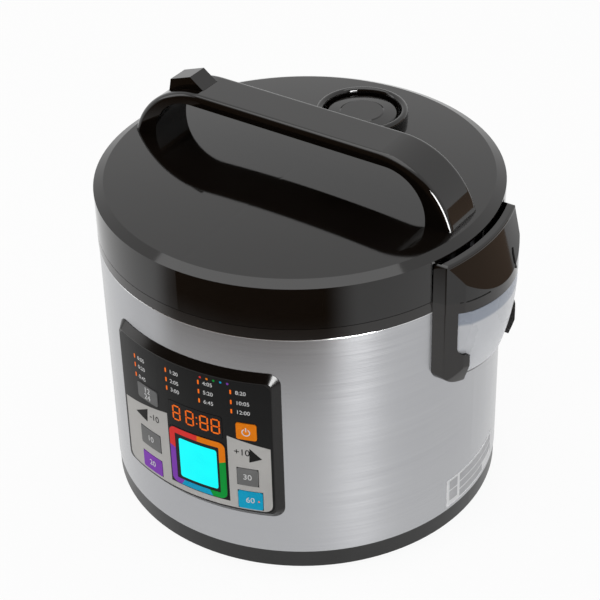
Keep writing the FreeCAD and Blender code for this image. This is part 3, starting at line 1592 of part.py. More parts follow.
def make_inlet_and_power_board():
    """Recessed mains socket with three blades, and the power board on the base."""
    zero = as_size(0)
    mouth = d.shell_radius + d.inlet_proud
    height = d.inlet_height
    middle = d.inlet_low + height / 2
    body = new_body("inlet_body")
    half = d.inlet_half
    clip = d.inlet_wall
    extrude(body, "XZ_Plane", [
        (-half, d.inlet_low),
        (half, d.inlet_low),
        (half, d.inlet_low + height - clip),
        (half - clip, d.inlet_low + height),
        (-half + clip, d.inlet_low + height),
        (-half, d.inlet_low + height - clip),
    ], d.inlet_depth, -mouth, back=False)
    wall = d.inlet_wall
    pocket(body, "XZ_Plane", [
        (-half + wall, d.inlet_low + wall),
        (half - wall, d.inlet_low + wall),
        (half - wall, d.inlet_low + height - wall - clip / 2),
        (half - wall - clip / 2, d.inlet_low + height - wall),
        (-half + wall + clip / 2, d.inlet_low + height - wall),
        (-half + wall, d.inlet_low + height - wall - clip / 2),
    ], d.inlet_depth - d.inlet_floor, -mouth, back=True)
    publish(body, "mains_inlet")
    blades = []
    floor = mouth - d.inlet_depth + d.inlet_floor
    for step, rise in ((-1, -1), (0, 1), (1, -1)):
        blades.append(block("inlet_blade", d.blade_thick, d.blade_length, d.blade_width, d.blade_pitch * step,
                            floor + d.blade_length / 2, middle + d.blade_offset * rise - d.blade_width / 2))
    publish(group("inlet_blades", blades), "inlet_blades")

    level = base_floor_top + d.power_rise
    along = d.power_start + d.power_length / 2
    board = block("power_plate", d.power_half * 2, d.power_length, d.board_thick, zero, along, level)
    deck = level + d.board_thick
    relay = block("relay", d.relay_side, d.relay_width, d.relay_height, -d.power_half / 2, along, deck)
    choke = cylinder("capacitor", d.capacitor_radius, d.capacitor_height, d.power_half / 2, along, deck)
    terminal = block("terminal", d.terminal_width, d.terminal_length, d.terminal_height, zero, along, deck)
    publish(fuse_all("power_board", [board, relay, choke, terminal]), "power_board")


def check_and_write():
    """Refuse a failed object or an invalid sub-part, then write one file for each."""
    doc.recompute()
    for feature in doc.Objects:
        if "Invalid" in feature.State or "Error" in feature.State:
            raise RuntimeError(f"{feature.Label}: {feature.State}")
    for feature in nodes:
        if feature.Shape.isNull() or not feature.Shape.isValid() or not feature.Shape.Solids:
            raise RuntimeError(f"{feature.Label}: bad shape")
    os.makedirs("parts", exist_ok=True)
    for feature in nodes:
        feature.Shape.exportStep(f"parts/{feature.Label}.step")
        print(feature.Label, len(feature.Shape.Solids), round(feature.Shape.Volume, 1))


make_base_pan()
make_foot_ring()
make_liner_posts_and_screws()
make_outer_shell()
make_top_ring()
make_pot_and_liner()
make_heater()
make_panel()
make_inlet_and_power_board()
make_hinge()
make_collector()
make_lid_cover()
make_lid_underside()
make_handle()
make_handle_screws()
make_release()
make_steam_valve()
check_and_write()
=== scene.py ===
import math

import bpy
from mathutils import Matrix, Vector


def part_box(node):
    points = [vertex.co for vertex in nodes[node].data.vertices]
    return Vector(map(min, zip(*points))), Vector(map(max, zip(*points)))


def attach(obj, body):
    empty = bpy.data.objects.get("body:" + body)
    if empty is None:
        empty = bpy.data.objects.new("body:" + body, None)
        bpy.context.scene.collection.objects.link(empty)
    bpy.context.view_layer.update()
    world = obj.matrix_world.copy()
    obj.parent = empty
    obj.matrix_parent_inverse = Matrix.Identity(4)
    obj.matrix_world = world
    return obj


# Table-top multicooker: looks, printed panel, lights and camera. Metres, +Z up, panel towards -Y.

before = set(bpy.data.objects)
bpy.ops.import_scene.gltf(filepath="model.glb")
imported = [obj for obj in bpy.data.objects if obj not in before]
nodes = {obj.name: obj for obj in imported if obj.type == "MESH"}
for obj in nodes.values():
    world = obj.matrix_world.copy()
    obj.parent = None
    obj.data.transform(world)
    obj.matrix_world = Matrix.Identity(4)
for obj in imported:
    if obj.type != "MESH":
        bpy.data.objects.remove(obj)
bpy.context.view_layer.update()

# The photograph's frame and the camera that was fitted to it
IMAGE_SIDE = 600
SENSOR = 36.0
LENS = 109.31
CAMERA_AZIMUTH = math.radians(34.75)
CAMERA_ELEVATION = math.radians(30.827)
CAMERA_DISTANCE = 1.2403
CAMERA_ROLL = math.radians(-1.541)
RIM_PIXEL = (303.09, 172.88)
RIM_CENTRE = Vector((0.0, 0.0, 0.2341))

# Surfaces that the prints lie on, read from the solids
FILM_RADIUS = -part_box("panel_film")[0].y
LENS_RADIUS = -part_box("screen_lens")[0].y
KEY_PROUD = 0.0003
KEY_RADIUS = LENS_RADIUS + KEY_PROUD
SHELL_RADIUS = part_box("outer_shell")[1].y

PRINT_LIFT = 0.00004
PRINT_THICK = 0.00012
BEND_STEP = 0.004
CUT_TOLERANCE = 0.00001
MERGE_DISTANCE = 0.000001
FACING_FRONT = (math.pi / 2, 0, 0)


# Modelling helpers

def clear_selection():
    bpy.ops.object.select_all(action="DESELECT")


def pick(piece):
    """Make one piece the only selected and active object."""
    clear_selection()
    piece.select_set(True)
    bpy.context.view_layer.objects.active = piece


def edit(piece):
    pick(piece)
    bpy.ops.object.mode_set(mode="EDIT")
    bpy.ops.mesh.select_all(action="SELECT")


def leave_edit():
    bpy.ops.object.mode_set(mode="OBJECT")


def newest():
    """The object that the last operator made."""
    return bpy.context.view_layer.objects.active


def settle(piece):
    """Put the piece's place, turn and size into its mesh."""
    pick(piece)
    bpy.ops.object.transform_apply(location=True, rotation=True, scale=True)
    return piece


def finish_modifier(piece, kind, **values):
    pick(piece)
    bpy.ops.object.modifier_add(type=kind)
    modifier = piece.modifiers[-1]
    for field, value in values.items():
        setattr(modifier, field, value)
    bpy.ops.object.modifier_apply(modifier=modifier.name)


def join(pieces, name):
    clear_selection()
    for piece in pieces:
        piece.select_set(True)
    bpy.context.view_layer.objects.active = pieces[0]
    bpy.ops.object.join()
    pieces[0].name = name
    return pieces[0]


def shift(piece, x, z):
    """Move a piece across the unrolled panel."""
    pick(piece)
    bpy.ops.transform.translate(value=(x, 0, z))
    return settle(piece)


def copy_of(piece):
    """A copy with its own mesh."""
    pick(piece)
    bpy.ops.object.duplicate()
    return newest()


def copy_to(piece, x, z):
    return shift(copy_of(piece), x, z)


def round_turn(degrees, radius=FILM_RADIUS):
    """Place across the unrolled panel or shell, from an angle round the body."""
    return math.radians(degrees) * radius


def flat_plate(name, width, height, x=0.0, z=0.0):
    """An upright plate that faces the front, on the unrolled panel."""
    clear_selection()
    bpy.ops.mesh.primitive_plane_add(size=1, rotation=FACING_FRONT, location=(x, 0, z))
    plate = newest()
    plate.name = name
    plate.scale = (width, height, 1)
    return settle(plate)


def plate_between(name, left, right, low, top):
    return flat_plate(name, right - left, top - low, (left + right) / 2, (low + top) / 2)


def round_corners(plate, radius, segments=6):
    edit(plate)
    bpy.ops.mesh.bevel(offset=radius, offset_type="OFFSET", segments=segments, affect="VERTICES")
    leave_edit()
    return plate


def slice_upright(plate, step=BEND_STEP):
    """Cut a wide plate into upright strips, so that it bends smoothly."""
    low = min(vertex.co.x for vertex in plate.data.vertices)
    high = max(vertex.co.x for vertex in plate.data.vertices)
    count = int((high - low) / step)
    edit(plate)
    for index in range(1, count + 1):
        bpy.ops.mesh.select_all(action="SELECT")
        bpy.ops.mesh.bisect(plane_co=(low + index * step, 0, 0), plane_no=(1, 0, 0))
    leave_edit()
    return plate


def cut_along(plate, start, end):
    """Cut an upright plate along a line and drop what lies to the right of the way along it."""
    right = Vector((end[1] - start[1], 0, start[0] - end[0])).normalized()
    edit(plate)
    bpy.ops.mesh.bisect(plane_co=(start[0], 0, start[1]), plane_no=right, clear_outer=True,
                        threshold=CUT_TOLERANCE)
    leave_edit()


def open_middle(plate, border):
    """Leave only a border of a flat plate."""
    edit(plate)
    bpy.ops.mesh.inset(thickness=border)
    bpy.ops.mesh.delete(type="FACE")
    leave_edit()


def cut_opening(plate, left, right, low, high):
    """Cut a rectangular opening in an upright plate."""
    edit(plate)
    bpy.ops.mesh.select_mode(type="FACE")
    for place, way in (((left, 0, 0), (1, 0, 0)), ((right, 0, 0), (1, 0, 0)),
                       ((0, 0, low), (0, 0, 1)), ((0, 0, high), (0, 0, 1))):
        bpy.ops.mesh.select_all(action="SELECT")
        bpy.ops.mesh.bisect(plane_co=place, plane_no=way)
    bpy.ops.mesh.select_all(action="DESELECT")
    leave_edit()
    for face in plate.data.polygons:
        face.select = left < face.center.x < right and low < face.center.z < high
    bpy.ops.object.mode_set(mode="EDIT")
    bpy.ops.mesh.delete(type="FACE")
    bpy.ops.mesh.select_mode(type="VERT")
    leave_edit()


def cut_shape(name, corners):
    """A flat plate cut to straight sides; the corners go anticlockwise, seen from the front."""
    across = [x for x, z in corners]
    upright = [z for x, z in corners]
    plate = plate_between(name, min(across), max(across), min(upright), max(upright))
    for index, corner in enumerate(corners):
        cut_along(plate, corners[index - 1], corner)
    return plate


def drawn_strip(name, points, side, turn=0.0):
    """A thin square bar, drawn from point to point by extruding its end."""
    clear_selection()
    bpy.ops.mesh.primitive_plane_add(size=side, rotation=(turn, 0, 0), location=points[0])
    strip = settle(newest())
    strip.name = name
    edit(strip)
    for before, after in zip(points, points[1:]):
        bpy.ops.mesh.extrude_region_move(TRANSFORM_OT_translate={"value": Vector(after) - Vector(before)})
    bpy.ops.mesh.select_all(action="SELECT")
    bpy.ops.mesh.normals_make_consistent(inside=False)
    leave_edit()
    return strip


def bend_round(piece, radius):
    """Thicken an unrolled print and bend it round the body at a radius."""
    finish_modifier(piece, "SOLIDIFY", thickness=PRINT_THICK, offset=1.0)
    turn = piece.dimensions.x / radius
    finish_modifier(piece, "SIMPLE_DEFORM", deform_method="BEND", deform_axis="Z", angle=turn)
    bpy.ops.transform.translate(value=(0, -radius - PRINT_LIFT, 0))
    return settle(piece)


def number(text, size, x, z, align="LEFT"):
    """A plain number, made a mesh, on the unrolled panel."""
    clear_selection()
    bpy.ops.object.text_add(rotation=FACING_FRONT, location=(x, 0, z))
    label = newest()
    label.data.body = text
    label.data.size = size
    label.data.align_x = align
    label.data.align_y = "CENTER"
    bpy.ops.object.convert(target="MESH")
    return settle(newest())


def dress(piece, material, body):
    piece.data.materials.clear()
    piece.data.materials.append(material)
    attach(piece, body)
    return piece


# Shader groups that several finishes share

# The part of a noise pattern's range that is in use
NOISE_LOW = 0.3
NOISE_HIGH = 0.7
SMEAR_SCALE = 18.0
GRAIN_SCALE = 900.0
GRAIN_DEPTH = 0.0003
# Brushed lines: the stretch of their pattern, its clouds, and how much of the shade each gives
LINE_STRETCH = (9.0, 9.0, 1600.0)
LINE_DEPTH = 0.0001
CLOUD_SCALE = 9.0
LINE_SHARE = 0.55
CLOUD_SHARE = 0.45


def new_group(name, inputs, outputs):
    group = bpy.data.node_groups.new(name, "ShaderNodeTree")
    for label, value in inputs.items():
        socket = group.interface.new_socket(label, in_out="INPUT", socket_type="NodeSocketFloat")
        socket.default_value = value
    for label in outputs:
        group.interface.new_socket(label, in_out="OUTPUT", socket_type="NodeSocketFloat")
    return group


def feed(tree, socket, value):
    """Set a socket from another node's output or from a plain number."""
    if hasattr(value, "is_output"):
        tree.links.new(value, socket)
    else:
        socket.default_value = value


def add_math(tree, operation, first, second):
    node = tree.nodes.new("ShaderNodeMath")
    node.operation = operation
    feed(tree, node.inputs[0], first)
    feed(tree, node.inputs[1], second)
    return node.outputs["Value"]


def add_noise(tree, vector, scale, detail):
    noise = tree.nodes.new("ShaderNodeTexNoise")
    noise.inputs["Detail"].default_value = detail
    feed(tree, noise.inputs["Scale"], scale)
    feed(tree, noise.inputs["Vector"], vector)
    return noise.outputs["Fac"]


def add_range(tree, value, low, high, start=NOISE_LOW, end=NOISE_HIGH):
    span = tree.nodes.new("ShaderNodeMapRange")
    feed(tree, span.inputs["From Min"], start)
    feed(tree, span.inputs["From Max"], end)
    feed(tree, span.inputs["To Min"], low)
    feed(tree, span.inputs["To Max"], high)
    feed(tree, span.inputs["Value"], value)
    return span.outputs["Result"]


def soft_step(tree, value, start, end):
    """0 before the start, 1 after the end, smooth between."""
    step = tree.nodes.new("ShaderNodeMapRange")
    step.interpolation_type = "SMOOTHSTEP"
    feed(tree, step.inputs["From Min"], start)
    feed(tree, step.inputs["From Max"], end)
    feed(tree, step.inputs["Value"], value)
    return step.outputs["Result"]


def moulded_group():
    """Handled plastic: broad smears in the gloss and a fine moulded grain."""
    levels = {"Smear Scale": SMEAR_SCALE, "Grain Scale": GRAIN_SCALE, "Rough Low": 0.1, "Rough High": 0.2}
    group = new_group("moulded_surface", levels, ("Shade", "Roughness", "Height"))
    source = group.nodes.new("NodeGroupInput")
    sink = group.nodes.new("NodeGroupOutput")
    place = group.nodes.new("ShaderNodeTexCoord").outputs["Object"]
    smear = add_noise(group, place, source.outputs["Smear Scale"], 5.0)
    grain = add_noise(group, place, source.outputs["Grain Scale"], 2.0)
    rough = add_range(group, smear, source.outputs["Rough Low"], source.outputs["Rough High"])
    group.links.new(smear, sink.inputs["Shade"])
    group.links.new(rough, sink.inputs["Roughness"])
    group.links.new(grain, sink.inputs["Height"])
    return group


def brushed_group():
    """Brushing that runs round the body: fine lines that change with height."""
    levels = {"Line Scale": 1.0, "Rough Low": 0.2, "Rough High": 0.35}
    group = new_group("brushed_round", levels, ("Shade", "Roughness", "Height"))
    source = group.nodes.new("NodeGroupInput")
    sink = group.nodes.new("NodeGroupOutput")
    place = group.nodes.new("ShaderNodeTexCoord").outputs["Object"]
    stretch = group.nodes.new("ShaderNodeMapping")
    stretch.inputs["Scale"].default_value = LINE_STRETCH
    group.links.new(place, stretch.inputs["Vector"])
    lines = add_noise(group, stretch.outputs["Vector"], source.outputs["Line Scale"], 4.0)
    cloud = add_noise(group, place, CLOUD_SCALE, 3.0)
    rough = add_range(group, lines, source.outputs["Rough Low"], source.outputs["Rough High"])
    shade = add_math(group, "ADD", add_math(group, "MULTIPLY", lines, LINE_SHARE),
                     add_math(group, "MULTIPLY", cloud, CLOUD_SHARE))
    group.links.new(shade, sink.inputs["Shade"])
    group.links.new(rough, sink.inputs["Roughness"])
    group.links.new(lines, sink.inputs["Height"])
    return group


MOULDED = moulded_group()
BRUSHED = brushed_group()


def srgb(red, green, blue):
    """A colour as seen on screen, 0 to 255, in linear light."""
    channels = []
    for value in (red, green, blue):
        share = value / 255
        channels.append(share / 12.92 if share <= 0.04045 else ((share + 0.055) / 1.055) ** 2.4)
    return (*channels, 1.0)


def new_material(name):
    material = bpy.data.materials.new(name)
    material.use_nodes = True
    tree = material.node_tree
    return material, tree, tree.nodes["Principled BSDF"]


def two_tone(tree, shade, dark, light):
    """Mix two close colours, given as seen on screen, by a mask."""
    ramp = tree.nodes.new("ShaderNodeValToRGB")
    ramp.color_ramp.elements[0].position = NOISE_LOW
    ramp.color_ramp.elements[0].color = srgb(*dark)
    ramp.color_ramp.elements[1].position = NOISE_HIGH
    ramp.color_ramp.elements[1].color = srgb(*light)
    tree.links.new(shade, ramp.inputs["Fac"])
    return ramp.outputs["Color"]


def place_group(tree, group, **values):
    node = tree.nodes.new("ShaderNodeGroup")
    node.name = "surface"
    node.node_tree = group
    for label, value in values.items():
        node.inputs[label.replace("_", " ")].default_value = value
    return node


def add_bump(tree, shader, height, strength, distance):
    bump = tree.nodes.new("ShaderNodeBump")
    bump.inputs["Strength"].default_value = strength
    bump.inputs["Distance"].default_value = distance
    tree.links.new(height, bump.inputs["Height"])
    tree.links.new(bump.outputs["Normal"], shader.inputs["Normal"])


def dress_shader(tree, shader, surface, dark, light):
    """Colour and roughness from a placed group."""
    tree.links.new(two_tone(tree, surface.outputs["Shade"], dark, light), shader.inputs["Base Color"])
    tree.links.new(surface.outputs["Roughness"], shader.inputs["Roughness"])


def plastic(name, dark, light, rough, grain, grain_scale=GRAIN_SCALE, smear_scale=SMEAR_SCALE):
    """Moulded plastic, rubber or ink of two close tones."""
    material, tree, shader = new_material(name)
    surface = place_group(tree, MOULDED, Smear_Scale=smear_scale, Grain_Scale=grain_scale, Rough_Low=rough[0],
                          Rough_High=rough[1])
    dress_shader(tree, shader, surface, dark, light)
    add_bump(tree, shader, surface.outputs["Height"], grain, GRAIN_DEPTH)
    return material, shader


def metal(name, dark, light, rough, line_scale, bump):
    """Metal with lines that run round the body."""
    material, tree, shader = new_material(name)
    surface = place_group(tree, BRUSHED, Line_Scale=line_scale, Rough_Low=rough[0], Rough_High=rough[1])
    shader.inputs["Metallic"].default_value = 1.0
    dress_shader(tree, shader, surface, dark, light)
    add_bump(tree, shader, surface.outputs["Height"], bump, LINE_DEPTH)
    return material, shader


# Finishes. Plastics: darker and lighter tone as seen on screen, roughness from and to, depth of the grain

PLASTICS = {
    "gloss_black": ((10, 7, 5), (14, 11, 9), (0.035, 0.075), 0.002),
    "rim_black": ((22, 18, 15), (28, 24, 21), (0.08, 0.14), 0.006),
    "bezel_black": ((10, 7, 5), (14, 11, 9), (0.16, 0.24), 0.01),
    "satin_black": ((17, 17, 17), (25, 25, 24), (0.32, 0.44), 0.05),
    "film_black": ((20, 20, 20), (24, 24, 24), (0.32, 0.4), 0.01),
    "rubber_grey": ((34, 34, 34), (48, 48, 47), (0.6, 0.8), 0.15),
    "silicone_pale": ((205, 205, 200), (222, 222, 218), (0.4, 0.55), 0.05),
    "grey_plastic": ((92, 92, 93), (112, 112, 112), (0.35, 0.5), 0.06),
    "dark_plastic": ((36, 36, 38), (52, 52, 54), (0.45, 0.6), 0.06),
    "board_green": ((22, 84, 48), (34, 108, 62), (0.35, 0.5), 0.05),
    "pot_coating": ((44, 44, 46), (74, 74, 76), (0.3, 0.45), 0.1, 1400.0, 900.0),
}
# Black plastics with less shine than the plain level
SHINE = {"bezel_black": 0.3, "satin_black": 0.38, "film_black": 0.12}
# Metals: tones, roughness, scale of the lines and depth of their bump
METALS = {
    "brushed_steel": ((165, 166, 169), (174, 175, 177), (0.2, 0.27), 1.0, 0.012),
    "bright_steel": ((205, 206, 208), (232, 232, 233), (0.12, 0.2), 1.0, 0.05),
    "plain_steel": ((168, 169, 172), (196, 196, 198), (0.3, 0.45), 1.0, 0.05),
    "cast_aluminium": ((170, 171, 173), (200, 200, 201), (0.4, 0.55), 0.4, 0.2),
    "brass_blades": ((186, 150, 86), (214, 180, 116), (0.25, 0.4), 1.0, 0.05),
}
BRUSHING = 0.75
BRUSHING_TURN = 0.25
# Keys, prints and labels: matt inks with little shine of their own
INKS = {
    "grey_key": ((112, 112, 112), (128, 128, 127)),
    "purple_key": ((132, 62, 184), (146, 74, 196)),
    "orange_key": ((250, 130, 4), (255, 140, 10)),
    "blue_key": ((8, 168, 212), (18, 180, 222)),
    "grey_print": ((190, 188, 185), (200, 198, 195)),
    "white_print": ((225, 225, 225), (238, 238, 238)),
    "black_print": ((22, 21, 21), (30, 29, 28)),
    "label_paper": ((238, 239, 240), (248, 248, 249)),
    "field_grey": ((176, 177, 180), (206, 206, 208)),
    "ring_red": ((234, 52, 50), (244, 62, 58)),
    "ring_orange": ((250, 128, 4), (255, 138, 10)),
    "ring_green": ((0, 158, 56), (6, 168, 64)),
    "ring_blue": ((8, 166, 212), (18, 178, 222)),
    "ring_purple": ((132, 62, 184), (146, 74, 196)),
}
INK_ROUGH = (0.4, 0.55)
INK_GRAIN = 0.01
INK_SHINE = 0.08
# Lit windows, lamps and digits: tones of the glow, its strength and the scale of its unevenness
GLOWS = {
    "lamp_glow": ((255, 104, 8), (255, 128, 24), 0.9, 160.0),
    "digit_glow": ((232, 92, 4), (255, 120, 14), 0.9, 160.0),
    "screen_glow": ((0, 248, 252), (4, 255, 255), 1.0, 60.0),
}
UNLIT = ((8, 8, 8), (14, 14, 14))
LENS_ROUGH = (0.25, 0.35)
# Condensate cup: its plastic, and the height at which the painted bluish shade at the top, under the hinge
# block, starts and is full
CUP_TONES = ((206, 208, 213), (222, 224, 228))
CUP_ROUGH = (0.22, 0.32)
CUP_GRAIN = 0.02
CUP_CLEARNESS = 0.05
CUP_SHADE_BAND = (0.1835, 0.1855)
CUP_SHADE_TONE = (158, 166, 180)


def ink(name, dark, light):
    material, shader = plastic(name, dark, light, INK_ROUGH, INK_GRAIN)
    shader.inputs["Specular IOR Level"].default_value = INK_SHINE
    return material


def lit(name, dark, light, strength, smear_scale):
    material, shader = plastic(name, *UNLIT, LENS_ROUGH, INK_GRAIN, GRAIN_SCALE, smear_scale)
    tree = material.node_tree
    shade = tree.nodes["surface"].outputs["Shade"]
    tree.links.new(two_tone(tree, shade, dark, light), shader.inputs["Emission Color"])
    shader.inputs["Emission Strength"].default_value = strength
    shader.inputs["Specular IOR Level"].default_value = INK_SHINE
    return material


def cup_plastic():
    """Milky plastic with a bluish band of painted shade at the top, under the hinge block."""
    material, shader = plastic("cup_clear", *CUP_TONES, CUP_ROUGH, CUP_GRAIN)
    tree = material.node_tree
    shader.inputs["Transmission Weight"].default_value = CUP_CLEARNESS
    tone = shader.inputs["Base Color"].links[0].from_socket
    # Painted shade: a darker bluish tone mixed in above a height, where the block above shades the cup
    height = tree.nodes.new("ShaderNodeSeparateXYZ")
    tree.links.new(tree.nodes.new("ShaderNodeTexCoord").outputs["Object"], height.inputs["Vector"])
    shade_mix = tree.nodes.new("ShaderNodeMix")
    shade_mix.data_type = "RGBA"
    tree.links.new(add_range(tree, height.outputs["Z"], 0.0, 1.0, *CUP_SHADE_BAND), shade_mix.inputs["Factor"])
    tree.links.new(tone, shade_mix.inputs[6])
    shade_mix.inputs[7].default_value = srgb(*CUP_SHADE_TONE)
    tree.links.new(shade_mix.outputs[2], shader.inputs["Base Color"])
    return material


def make_finishes():
    finishes = {"cup_clear": cup_plastic()}
    for name, values in PLASTICS.items():
        finishes[name], shader = plastic(name, *values)
        if name in SHINE:
            shader.inputs["Specular IOR Level"].default_value = SHINE[name]
    for name, values in METALS.items():
        finishes[name], shader = metal(name, *values)
        if name == "brushed_steel":
            shader.inputs["Anisotropic"].default_value = BRUSHING
            shader.inputs["Anisotropic Rotation"].default_value = BRUSHING_TURN
    for name, tones in INKS.items():
        finishes[name] = ink(name, *tones)
    for name, values in GLOWS.items():
        finishes[name] = lit(name, *values)
    return finishes


# Each solid's finish
NODE_FINISH = {
    "gloss_black": ("lid_cover", "handle", "release_button", "valve_collar", "steam_valve", "hinge_block"),
    "rim_black": ("top_ring", "cup_holder"),
    "bezel_black": ("panel_bezel",),
    "satin_black": ("base_pan", "mains_inlet"),
    "film_black": ("panel_film", "screen_lens", "timer_lens"),
    "rubber_grey": ("foot_ring", "plate_grommet"),
    "silicone_pale": ("lid_gasket", "steam_tube"),
    "grey_plastic": ("lid_liner", "latch_lever", "board_spacers"),
    "dark_plastic": ("key_switches",),
    "board_green": ("control_board", "power_board"),
    "pot_coating": ("inner_pot",),
    "brushed_steel": ("outer_shell",),
    "bright_steel": ("inner_lid_plate", "hinge_pin", "hinge_spring", "sensor_spring", "button_spring",
                     "latch_pin"),
    "plain_steel": ("liner_posts", "base_screws", "inner_liner", "heating_element", "handle_screws",
                    "hinge_arms", "arm_screws", "holder_screws"),
    "cast_aluminium": ("heating_plate", "sensor_cap"),
    "brass_blades": ("inlet_blades",),
    "cup_clear": ("condensate_cup",),
    "grey_key": ("key_upper_left", "key_middle_left", "key_middle_right"),
    "purple_key": ("key_lower_left",),
    "orange_key": ("key_power",),
    "blue_key": ("key_lower_right",),
}


def dress_solids(finishes):
    for finish, names in NODE_FINISH.items():
        for name in names:
            for slot in nodes[name].material_slots:
                slot.material = finishes[finish]


# Panel prints, laid out unrolled: place across as an angle round the body, height in metres

# Columns of lamps: place across, and each lamp's height
LAMP_COLUMNS = {
    -17.0: (0.1497, 0.1426, 0.1344),
    -4.6: (0.1538, 0.1461, 0.1391),
    5.9: (0.1543, 0.1468, 0.1392),
    15.1: (0.1527, 0.1445, 0.1370),
}
LAMP_WIDTH = 0.0011
LAMP_HEIGHT = 0.0034
PROGRAM_TEXT = 0.0043
PROGRAM_GAP = 0.0032
PROGRAM_STEP = 5
LAMP_ROUNDING = 0.3


def make_program_lamps(finishes):
    """Small orange bars in four columns, each with its cooking time in hours and minutes."""
    bar = round_corners(flat_plate("lamp", LAMP_WIDTH, LAMP_HEIGHT), LAMP_WIDTH * LAMP_ROUNDING, 3)
    bars = []
    marks = []
    count = 0
    for turn, heights in LAMP_COLUMNS.items():
        for height in heights:
            count += 1
            x = round_turn(turn)
            bars.append(copy_to(bar, x, height))
            time = "%d:%02d" % divmod(count * count * PROGRAM_STEP, 60)
            marks.append(number(time, PROGRAM_TEXT, x + PROGRAM_GAP, height))
    bpy.data.objects.remove(bar)
    lamps = bend_round(join(bars, "program_lamps"), FILM_RADIUS)
    dress(lamps, finishes["lamp_glow"], "base")
    numbers = bend_round(join(marks, "program_numbers"), FILM_RADIUS)
    dress(numbers, finishes["white_print"], "base")


DIGIT_TURNS = (-1.8, 2.5, 6.9, 10.3)
DIGIT_MIDDLE = 0.1212
DIGIT_WIDTH = 0.0056
DIGIT_HEIGHT = 0.0112
STROKE = 0.0011
STROKE_ROUNDING = 0.42
COLON_TURN = 4.7


def make_timer_digits(finishes):
    """Four seven-bar digits, with a colon, all lit."""
    stroke = flat_plate("digit_bar", DIGIT_HEIGHT / 2 - STROKE * 0.5, STROKE)
    round_corners(stroke, STROKE * STROKE_ROUNDING, 2)
    upright = copy_of(stroke)
    upright.rotation_euler = (0, math.pi / 2, 0)
    settle(upright)
    level = flat_plate("digit_level", DIGIT_WIDTH - STROKE * 1.1, STROKE)
    round_corners(level, STROKE * STROKE_ROUNDING, 2)
    half_width = DIGIT_WIDTH / 2
    quarter = DIGIT_HEIGHT / 4
    bars = []
    for turn in DIGIT_TURNS:
        x = round_turn(turn)
        for height in (-2, 0, 2):
            bars.append(copy_to(level, x, DIGIT_MIDDLE + height * quarter))
        for side in (-1, 1):
            for height in (-1, 1):
                bars.append(copy_to(upright, x + side * half_width, DIGIT_MIDDLE + height * quarter))
    dot = round_corners(flat_plate("colon_dot", STROKE, STROKE), STROKE * 0.4, 3)
    for height in (-0.9, 0.9):
        bars.append(copy_to(dot, round_turn(COLON_TURN), DIGIT_MIDDLE + height * quarter))
    for spare in (stroke, upright, level, dot):
        bpy.data.objects.remove(spare)
    digits = bend_round(join(bars, "timer_digits"), LENS_RADIUS)
    dress(digits, finishes["digit_glow"], "base")


RING_TURN = 3.9
RING_MIDDLE = 0.0840
RING_WIDTH = 0.0440
RING_HEIGHT = 0.0482
RING_BAND = 0.0047
RING_CORNER = 0.0050
SCREEN_TURN = 4.2
SCREEN_MIDDLE = 0.0838
SCREEN_WIDTH = 0.0297
SCREEN_HEIGHT = 0.0332
SCREEN_CORNER = 0.0018
# Colours round the ring: finish, from share of the way round to share, starting at the left, clockwise
RING_COLOURS = (
    ("ring_purple", -0.166, 0.056),
    ("ring_red", 0.056, 0.258),
    ("ring_orange", 0.258, 0.442),
    ("ring_green", 0.442, 0.681),
    ("ring_blue", 0.681, 0.834),
)


def ring_share(x, z):
    """Share of the way round the ring, clockwise from its left middle."""
    share = (math.atan2(-z, x) + math.pi) / (2 * math.pi)
    return share - 1 if share > RING_COLOURS[-1][2] else share


def make_colour_ring(finishes):
    """Ring of five printed colours round the lit screen."""
    ring = round_corners(flat_plate("colour_ring", RING_WIDTH, RING_HEIGHT), RING_CORNER)
    open_middle(ring, RING_BAND)
    for finish, start, end in RING_COLOURS:
        angle = math.pi - start * 2 * math.pi
        edit(ring)
        bpy.ops.mesh.bisect(plane_co=(0, 0, 0), plane_no=(-math.sin(angle), 0, math.cos(angle)))
        leave_edit()
    slice_upright(ring)
    ring.data.materials.clear()
    for finish, start, end in RING_COLOURS:
        ring.data.materials.append(finishes[finish])
    for face in ring.data.polygons:
        share = ring_share(face.center.x, face.center.z)
        for index, (finish, start, end) in enumerate(RING_COLOURS):
            if start <= share < end:
                face.material_index = index
    bend_round(shift(ring, round_turn(RING_TURN), RING_MIDDLE), LENS_RADIUS)
    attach(ring, "base")
    screen = flat_plate("lit_screen", SCREEN_WIDTH, SCREEN_HEIGHT, round_turn(SCREEN_TURN), SCREEN_MIDDLE)
    slice_upright(round_corners(screen, SCREEN_CORNER))
    bend_round(screen, LENS_RADIUS)
    dress(screen, finishes["screen_glow"], "base")


# The grey zone of the film: its sides, its top and bottom, and the strip under the ring
ZONE_LEFT = -23.4
ZONE_RIGHT = 25.2
ZONE_LOW = 0.0545
ZONE_TOP = 0.1171
ZONE_CORNER = 0.0056
ZONE_STRIP = 0.0591
ZONE_GAP = (-5.3, 13.4)
ZONE_SHOULDERS = (
    ((-4.84, 0.1171), (-23.0, 0.1074)),
    ((25.5, 0.1089), (13.45, 0.1155)),
)
# Keys: place round the body, height, width in degrees, height of the key, numbers from the top
KEYS = {
    "key_upper_left": (-12.5, 0.1236, 8.0, 0.0124, ("12", "24")),
    "key_middle_left": (-12.7, 0.0848, 8.0, 0.0150, ("10",)),
    "key_lower_left": (-12.7, 0.0634, 7.8, 0.0136, ("20",)),
    "key_power": (18.9, 0.1218, 5.6, 0.0134, ()),
    "key_middle_right": (18.7, 0.0830, 5.8, 0.0144, ("30",)),
    "key_lower_right": (19.2, 0.0632, 6.8, 0.0150, ("60",)),
}
KEY_GAP = 0.00035
KEY_TEXT = 0.0064
KEY_LINE = 0.0055


